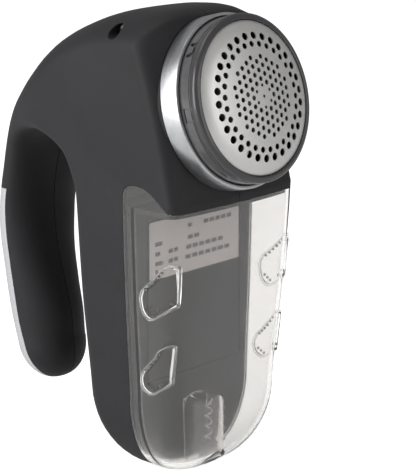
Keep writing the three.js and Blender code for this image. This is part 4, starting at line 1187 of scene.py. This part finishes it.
@dataclass
class LintBin:
    """The clear bin with its grips, flange, post and catch."""

    wall: float = 1.8
    flange: float = 2.9
    post_y: float = -35.2
    post_radius: float = 8.4
    post_low: float = -3.0
    post_high: float = 29.0
    catch_near: float = -39.6
    catch_far: float = -36.1
    bump_count: int = 4
    bump_low: float = 8.0
    bump_step: float = 4.6
    bump_radius: float = 0.9
    catch_half: float = 3.8
    rib_count: int = 5
    rib_low: float = 0.4
    rib_step: float = 1.5
    grip_lip: float = 0.8
    grip_front: float = 32.4
    dot_radius: float = 0.62
    grips: tuple[tuple[Triple, ...], ...] = (
        ((-34.4, 77.5, 2.0), (-36.2, 81.8, 3), (-43.4, 87.8, 3), (-49.4, 93.6, 2.5), (-53.6, 93.4, 2.0),
         (-53.6, 76.5, 3), (-40.4, 68.0, 3), (-35.9, 70.6, 3)),
        ((-32.8, 42.2, 2.5), (-34.6, 46.8, 3), (-39.6, 51.7, 3), (-45.6, 58.7, 3), (-51.6, 60.4, 3),
         (-51.8, 44.6, 3), (-39.1, 36.0, 3), (-34.1, 38.0, 3)),
    )

    def _grip(self, outline: Sequence[Pair], side: int) -> Solid:
        """A raised edge that follows the outside, open in its middle."""
        pad = prism(outline, *self._reach(side, self.grip_front)).keep(FORM.solid(-self.grip_lip))
        well = prism(self._shrunk(outline, 1.1), *self._reach(side, self.grip_front + 1.0))
        return pad.cut(FORM.solid(-0.03), well)

    @staticmethod
    def _reach(side: int, start: float) -> Pair:
        """Returns the span of X from a distance out to beyond the wall on one side."""
        return (start, SIDE) if side > 0 else (-SIDE, -start)

    @staticmethod
    def _shrunk(outline: Sequence[Pair], margin: float) -> list[Pair]:
        """Returns an outline drawn in towards its middle by about a margin."""
        middle = Vector((sum(p[0] for p in outline), sum(p[1] for p in outline))) / len(outline)
        made = []
        for point in outline:
            arm = Vector(point) - middle
            made.append(tuple(middle + arm * max(0.1, 1 - margin / max(arm.length, 0.1))))
        return made

    def shell(self) -> Solid:
        """The bin itself."""
        outer = FORM.solid()
        top = SPACES.bin_top
        below = slab((-FAR, -FAR), (FAR, top + 0.01))
        cup = outer.keep(SPACES.bin(0)).cut(FORM.solid(self.wall).keep(below))
        above = slab((-FAR, top), (FAR, FAR))
        cup = cup.cut(above.keep(FORM.solid(self.wall)))
        cup = cup.cut(block((-30, -FAR, top - 1), (30, FAR, FAR)).keep(above))
        rear = slab((SPACES.bin_back - 5.2, -FAR), (SPACES.bin_back - 3.6, FAR))
        rib = outer.cut(FORM.solid(self.flange)).keep(SPACES.bin(0), rear, below)
        return cup.add(rib)

    def post(self) -> Solid:
        """The hollow half-round post over the catch, with a domed top and a row of bumps."""
        radius, low, high = self.post_radius, self.post_low, self.post_high
        angles = [math.pi / 2 * i / 8 for i in range(8)]
        dome = [(radius * math.cos(a), high - 3 + 3 * math.sin(a)) for a in angles]
        inner = [(max(r - 1.3, 0.0), z - (1.2 if r < radius - 2 else 0.4)) for r, z in dome]
        outside = lathe([(0, low), (radius, low), *dome, (0, high)], 48)
        inside = lathe([(0, low - 3), (radius - 1.4, low - 3), *inner, (0, high - 1.4)], 48)
        made = outside.cut(inside).moved(Matrix.Translation((0, self.post_y, 0)))
        made = made.keep(block((-20, -FAR, -10), (20, Housing.panel_y - GAP, 60)), FORM.solid())
        for step in range(self.bump_count):
            level = self.bump_low + self.bump_step * step
            made = made.add(bead((radius * 0.72, self.post_y - radius * 0.69, level), self.bump_radius))
        return made

    def build(self) -> None:
        """Builds the bin and its catch."""
        made = self.shell().add(self.post())
        gap_half = self.catch_half + GAP
        made = made.cut(block((-gap_half, self.catch_near - GAP, -10), (gap_half, self.catch_far + GAP, 3)))
        form = FORM.solid()
        tree = BVHTree.FromPolygons([v.co.copy() for v in form.mesh.vertices],
                                    [tuple(p.vertices) for p in form.mesh.polygons])
        edges: list[Solid] = []
        dots: list[Solid] = []
        for side in (-1, 1):
            for corners in self.grips:
                edges.append(self._grip(rounded(corners), side))
                dots.extend(bead(spot, self.dot_radius, 6) for spot in self._dots(corners, side, tree))
        FITTER.piece("bin_shell", made, SMOKE_CLEAR, "lint_bin", ["lint_bin"], sharp=28,
                     more=[(Solid.gathered(edges), MOULDED_EDGE), (Solid.gathered(dots), MOULDED_DOT)])
        self.catch()

    def _dots(self, corners: Sequence[Triple], side: int, tree: BVHTree) -> list[Vector]:
        """Centres of the small domes along the upper and the lower edge of a grip."""
        spots = []
        middle = Vector((sum(c[0] for c in corners), sum(c[1] for c in corners))) / len(corners)
        upper = [Vector(corners[i][:2]) for i in (1, 2, 3)]
        lower = [Vector(corners[i][:2]) for i in (7, 6, 5)]
        for line, count in ((upper, 6), (lower, 5)):
            for step in range(count):
                t = step / (count - 1) * (len(line) - 1) * 0.96 + 0.04
                index = min(int(t), len(line) - 2)
                point = line[index].lerp(line[index + 1], t - index)
                point = point.lerp(middle, 0.26)
                hit = tree.ray_cast(Vector((side * SIDE, point.x, point.y)), Vector((-side, 0, 0)))[0]
                if hit is not None:
                    spots.append(hit + Vector((side * 0.66, 0, 0)))
        return spots

    def catch(self) -> None:
        """The dark catch with its finger ribs."""
        near, half = self.catch_near, self.catch_half
        body = block((-half, near, -1.6), (half, self.catch_far, 7.4))
        for step in range(self.rib_count):
            level = self.rib_low + self.rib_step * step
            arc = [(near - 0.75 * math.sin(a), level + 0.45 * math.cos(a))
                   for a in (math.pi * i / 6 for i in range(7))]
            body = body.add(prism([*arc, (near + 0.4, level - 0.45), (near + 0.4, level + 0.45)], -half, half))
        FITTER.piece("catch_button", body, GLOSS_DARK, "bin_catch", ["bin_catch"])


@dataclass
class Head:
    """The collar, the guard ring, the rim and the perforated foil."""

    foil_radius: float = 31.0
    foil_thick: float = 0.5
    crown: float = 2.3
    dome_radius: float = 130.0
    shoulder: float = 25.0
    rim_radius: float = 34.1
    pitch: float = 3.49
    reach: float = 16.2
    lattice_hole: float = 2.06
    fine_hole: float = 1.4
    outer_rings: tuple[tuple[float, float, float], ...] = ((24.5, 0.0, 3.1), (21.1, math.pi / 30, 2.5))
    outer_count: int = 30
    hole_sides: int = 20
    window_angle: float = 137.5
    tab_angle: float = 183.5
    mark_angle: float = 233.5
    foil_steps: int = 22

    def dome(self, radius: float) -> float:
        """Height of the foil's front above the plane of its outer holes."""
        turn = max(0.0, radius - self.shoulder)
        return self.crown - radius ** 2 / (2 * self.dome_radius) - 0.045 * turn ** 2

    def _hole(self, x: float, y: float, diameter: float) -> Solid:
        """A punch through the foil."""
        return rod(diameter / 2, -8, 8, self.hole_sides).moved(Matrix.Translation((x, y, 0)))

    def holes(self) -> list[Solid]:
        """All punches: two outer rings, a lattice in the middle and seven fine ones."""
        made = [self._hole(0, 0, self.fine_hole)]
        rings = [(self.outer_count, *values) for values in self.outer_rings]
        rings.append((6, 4.4, math.pi / 6, self.fine_hole))
        for count, radius, turn, diameter in rings:
            for step in range(count):
                angle = turn + 2 * math.pi * step / count
                made.append(self._hole(radius * math.cos(angle), radius * math.sin(angle), diameter))
        column = self.pitch * math.sqrt(3) / 2
        for i in range(-5, 6):
            for j in range(-5, 6):
                x, y = i * column, (j + (i % 2) * 0.5) * self.pitch
                if self.pitch * 1.2 < math.hypot(x, y) < self.reach:
                    made.append(self._hole(x, y, self.lattice_hole))
        return made

    def foil(self) -> None:
        """The domed foil with its punched holes."""
        radii = [self.foil_radius * i / self.foil_steps for i in range(self.foil_steps + 1)]
        front = [(r, self.dome(r)) for r in radii]
        back = [(r, self.dome(r) - self.foil_thick) for r in radii]
        sheet = lathe([*back, *front[::-1]], 120)
        made = sheet.cut(Solid.gathered(self.holes()))
        FITTER.piece("shaving_foil", LAYOUT.at_head(made), FOIL_STEEL, "foil_cap", ["foil"])

    def rim(self) -> None:
        """The dark rim that holds the foil."""
        edge = self.dome(self.foil_radius)
        inner = self.foil_radius + GAP
        outer = self.rim_radius
        profile = [(inner, -5.6), (outer - 0.5, -5.6), (outer - 0.12, -5.45), (outer, -5.1), (outer, -4.0),
                   (outer - 0.12, -3.45), (outer - 0.5, -3.0), (outer - 1.1, -2.7), (inner + 0.9, -2.3),
                   (inner + 0.45, -2.25), (inner + 0.12, -2.4), (inner, edge + 0.1)]
        made = lathe(profile, FINE_ROUND)
        FITTER.piece("foil_holder", LAYOUT.at_head(made), RIM_DARK, "foil_cap", ["foil_rim"])

    def guard(self) -> None:
        """The ring that turns to free the foil, with its window, snap tab and pointer."""
        outer = self.rim_radius - 0.3
        inner = SPACES.chamber_radius + 0.7
        profile = [(inner, SPACES.seat + 0.8), (outer, SPACES.seat + 0.8), (outer, -6.8), (outer - 0.3, -6.65),
                   (outer - 0.3, -6.35), (outer, -6.2), (outer, -6.1), (outer - 0.2, -5.9), (inner, -5.9)]
        tube = lathe(profile, FINE_ROUND)

        def at(angle: float, solid: Solid) -> Solid:
            """Brings a solid given at the +X side of the head round to an angle."""
            return solid.moved(Matrix.Rotation(math.radians(angle), 4, "Z"))

        def patch(inside: float, outside: float, half: float, low: float, high: float) -> Solid:
            """A box at the ring's +X side, from inside its surface to outside it."""
            return block((outer - inside, -half, low), (outer + outside, half, high))

        window = patch(1.2, 1.0, 3.4, -10.3, -6.9)
        tooth = prism([(-2.2, -10.5), (2.2, -10.5), (1.2, -7.9), (-1.2, -7.9)], outer - 1.4, outer - 0.1)
        tab = patch(0.5, 1.0, 2.9, -10.4, -6.6).cut(patch(2.0, 2.0, 2.2, -9.7, -6.5))
        mark = patch(0.1, 0.3, 2.1, -8.8, -8.3)
        made = tube.cut(at(self.window_angle, window), at(self.tab_angle, tab))
        made = made.add(at(self.window_angle, tooth), at(self.mark_angle, mark))
        FITTER.piece("lock_ring", LAYOUT.at_head(made), RING_GREY, "guard_ring",
                     ["guard_ring"])

    def collar(self) -> None:
        """The satin silver collar with a softly turned front edge."""
        inner, outer = self.rim_radius + 0.1, SPACES.collar_radius
        low = SPACES.seat + GAP
        profile = [(inner, low), (outer - 0.15, low), (outer, low + 0.2), (outer, -12.2), (outer - 0.12, -11.8),
                   (outer - 0.45, -11.55), (inner + 0.3, -11.5), (inner, -11.7)]
        made = lathe(profile, FINE_ROUND)
        FITTER.piece("silver_collar", LAYOUT.at_head(made), SATIN_CHROME, "housing",
                     ["head_collar"])

    def build(self) -> None:
        """Builds every piece."""
        self.collar()
        self.guard()
        self.rim()
        self.foil()


class Insides:
    """The working parts, which keep their CAD shapes and get finishes."""

    def build(self) -> None:
        """Dresses every inner CAD node."""
        finishes = {
            INNER_DARK: ["battery_tray", "switch_body", "cutting_chamber", "lint_duct", "motor_end_cap",
                         "motor_mount", "cutter_disc"],
            CELL_JACKET: [f"cell_{i}" for i in range(1, 5)],
            SPRING_WIRE: [*(f"cell_spring_{i}" for i in range(1, 5)), "cutter_spring", "bin_catch_spring"],
            BLADE_STEEL: [*(f"cutter_blade_{i}" for i in range(1, 4)), "drive_shaft"],
            SCREW_ZINC: ["motor_screw_1", "motor_screw_2"],
            MOTOR_STEEL: ["motor_can"],
            WINDING: ["motor_armature"],
            PALE_NYLON: ["cutter_tip"],
            RED_SLEEVE: ["wire_positive"],
            BLACK_SLEEVE: ["wire_negative"],
        }
        for finish, nodes in finishes.items():
            for node in nodes:
                FITTER.dress(node, finish)


# ---------------------------------------------------------------- floor, light and camera


@dataclass
class Studio:
    """A pale floor, soft light and the camera."""

    aim: Triple = (0.0, -38.5, 97.1)
    distance: float = 0.7826
    azimuth: float = math.radians(48.4)
    elevation: float = math.radians(13.8)
    lens: float = 145.2
    surround: float = 0.2
    floor_lift: float = 0.85

    def floor(self) -> None:
        """A wide pale floor."""
        bpy.ops.mesh.primitive_plane_add(size=14.0, location=(0.0, 0.0, -0.0004))
        plane = bpy.context.active_object
        plane.name = "studio_floor"
        sheet = MaterialSheet("pale_floor")
        cloud = sheet.add("ShaderNodeTexNoise", Vector=sheet.place(), Scale=3.0, Detail=3.0)
        colour = sheet.blend(cloud.outputs["Fac"], (0.93, 0.93, 0.93, 1.0), (0.95, 0.95, 0.95, 1.0))
        seen = self.seen(sheet)
        sheet.set(Base_Color=colour, Roughness=0.9, Specular_IOR_Level=0.0, Emission_Color=WHITE,
                  Emission_Strength=sheet.math("MULTIPLY", seen, self.floor_lift))
        plane.data.materials.append(sheet.material)

    @staticmethod
    def seen(sheet: Sheet) -> bpy.types.NodeSocket:
        """Returns 1 for rays from the eye, also after clear plastic, and 0 for others."""
        path = sheet.add("ShaderNodeLightPath")
        return sheet.math("MAXIMUM", path.outputs["Is Camera Ray"], path.outputs["Is Transmission Ray"])

    def world(self) -> None:
        """An even pale surround, full white where it is seen."""
        world = bpy.data.worlds.new("studio")
        world.use_nodes = True
        sheet = Sheet(world.node_tree)
        background = world.node_tree.nodes["Background"]
        strength = sheet.math("MULTIPLY_ADD", self.seen(sheet), 1.0 - self.surround, self.surround)
        sheet.feed(background.inputs["Strength"], strength)
        sheet.feed(background.inputs["Color"], WHITE)
        bpy.context.scene.world = world

    def lamp(self, name: str, place: Triple, size: Pair, power: float) -> None:
        """Adds a soft box that faces the object."""
        data = bpy.data.lights.new(name, "AREA")
        data.shape = "RECTANGLE"
        data.size, data.size_y = size
        data.energy = power
        obj = bpy.data.objects.new(name, data)
        target = LAYOUT.point(*self.aim)
        obj.location = target + Vector(place)
        obj.rotation_euler = (-Vector(place)).to_track_quat("-Z", "Y").to_euler()
        bpy.context.scene.collection.objects.link(obj)

    def camera(self) -> None:
        """The camera, from the front left and a little above."""
        data = bpy.data.cameras.new("camera")
        data.lens = self.lens
        data.sensor_width = 36.0
        data.clip_start, data.clip_end = 0.05, 20.0
        obj = bpy.data.objects.new("camera", data)
        back = Vector((-math.sin(self.azimuth) * math.cos(self.elevation),
                       -math.cos(self.azimuth) * math.cos(self.elevation), math.sin(self.elevation)))
        obj.location = LAYOUT.point(*self.aim) + back * self.distance
        obj.rotation_euler = (math.pi / 2 - self.elevation, 0.0, -self.azimuth)
        bpy.context.scene.collection.objects.link(obj)
        bpy.context.scene.camera = obj

    def build(self) -> None:
        """Sets up the studio."""
        self.floor()
        self.world()
        self.lamp("left", (-1.3, 0.5, 0.38), (1.0, 1.4), 17.0)
        self.lamp("front", (0.35, -1.45, 0.32), (0.9, 1.3), 4.5)
        self.lamp("top", (-0.2, 0.2, 1.6), (1.2, 1.2), 5.0)
        self.camera()
        bpy.context.scene.view_settings.view_transform = "Standard"


def main() -> None:
    """Builds every sub-assembly in order."""
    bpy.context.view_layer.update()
    builders: list[object] = [Housing(), LintBin(), Head(), Insides(), Studio()]
    for builder in builders:
        LOG.info("building %s", type(builder).__name__)
        builder.build()


if __name__ == "__main__":
    main()
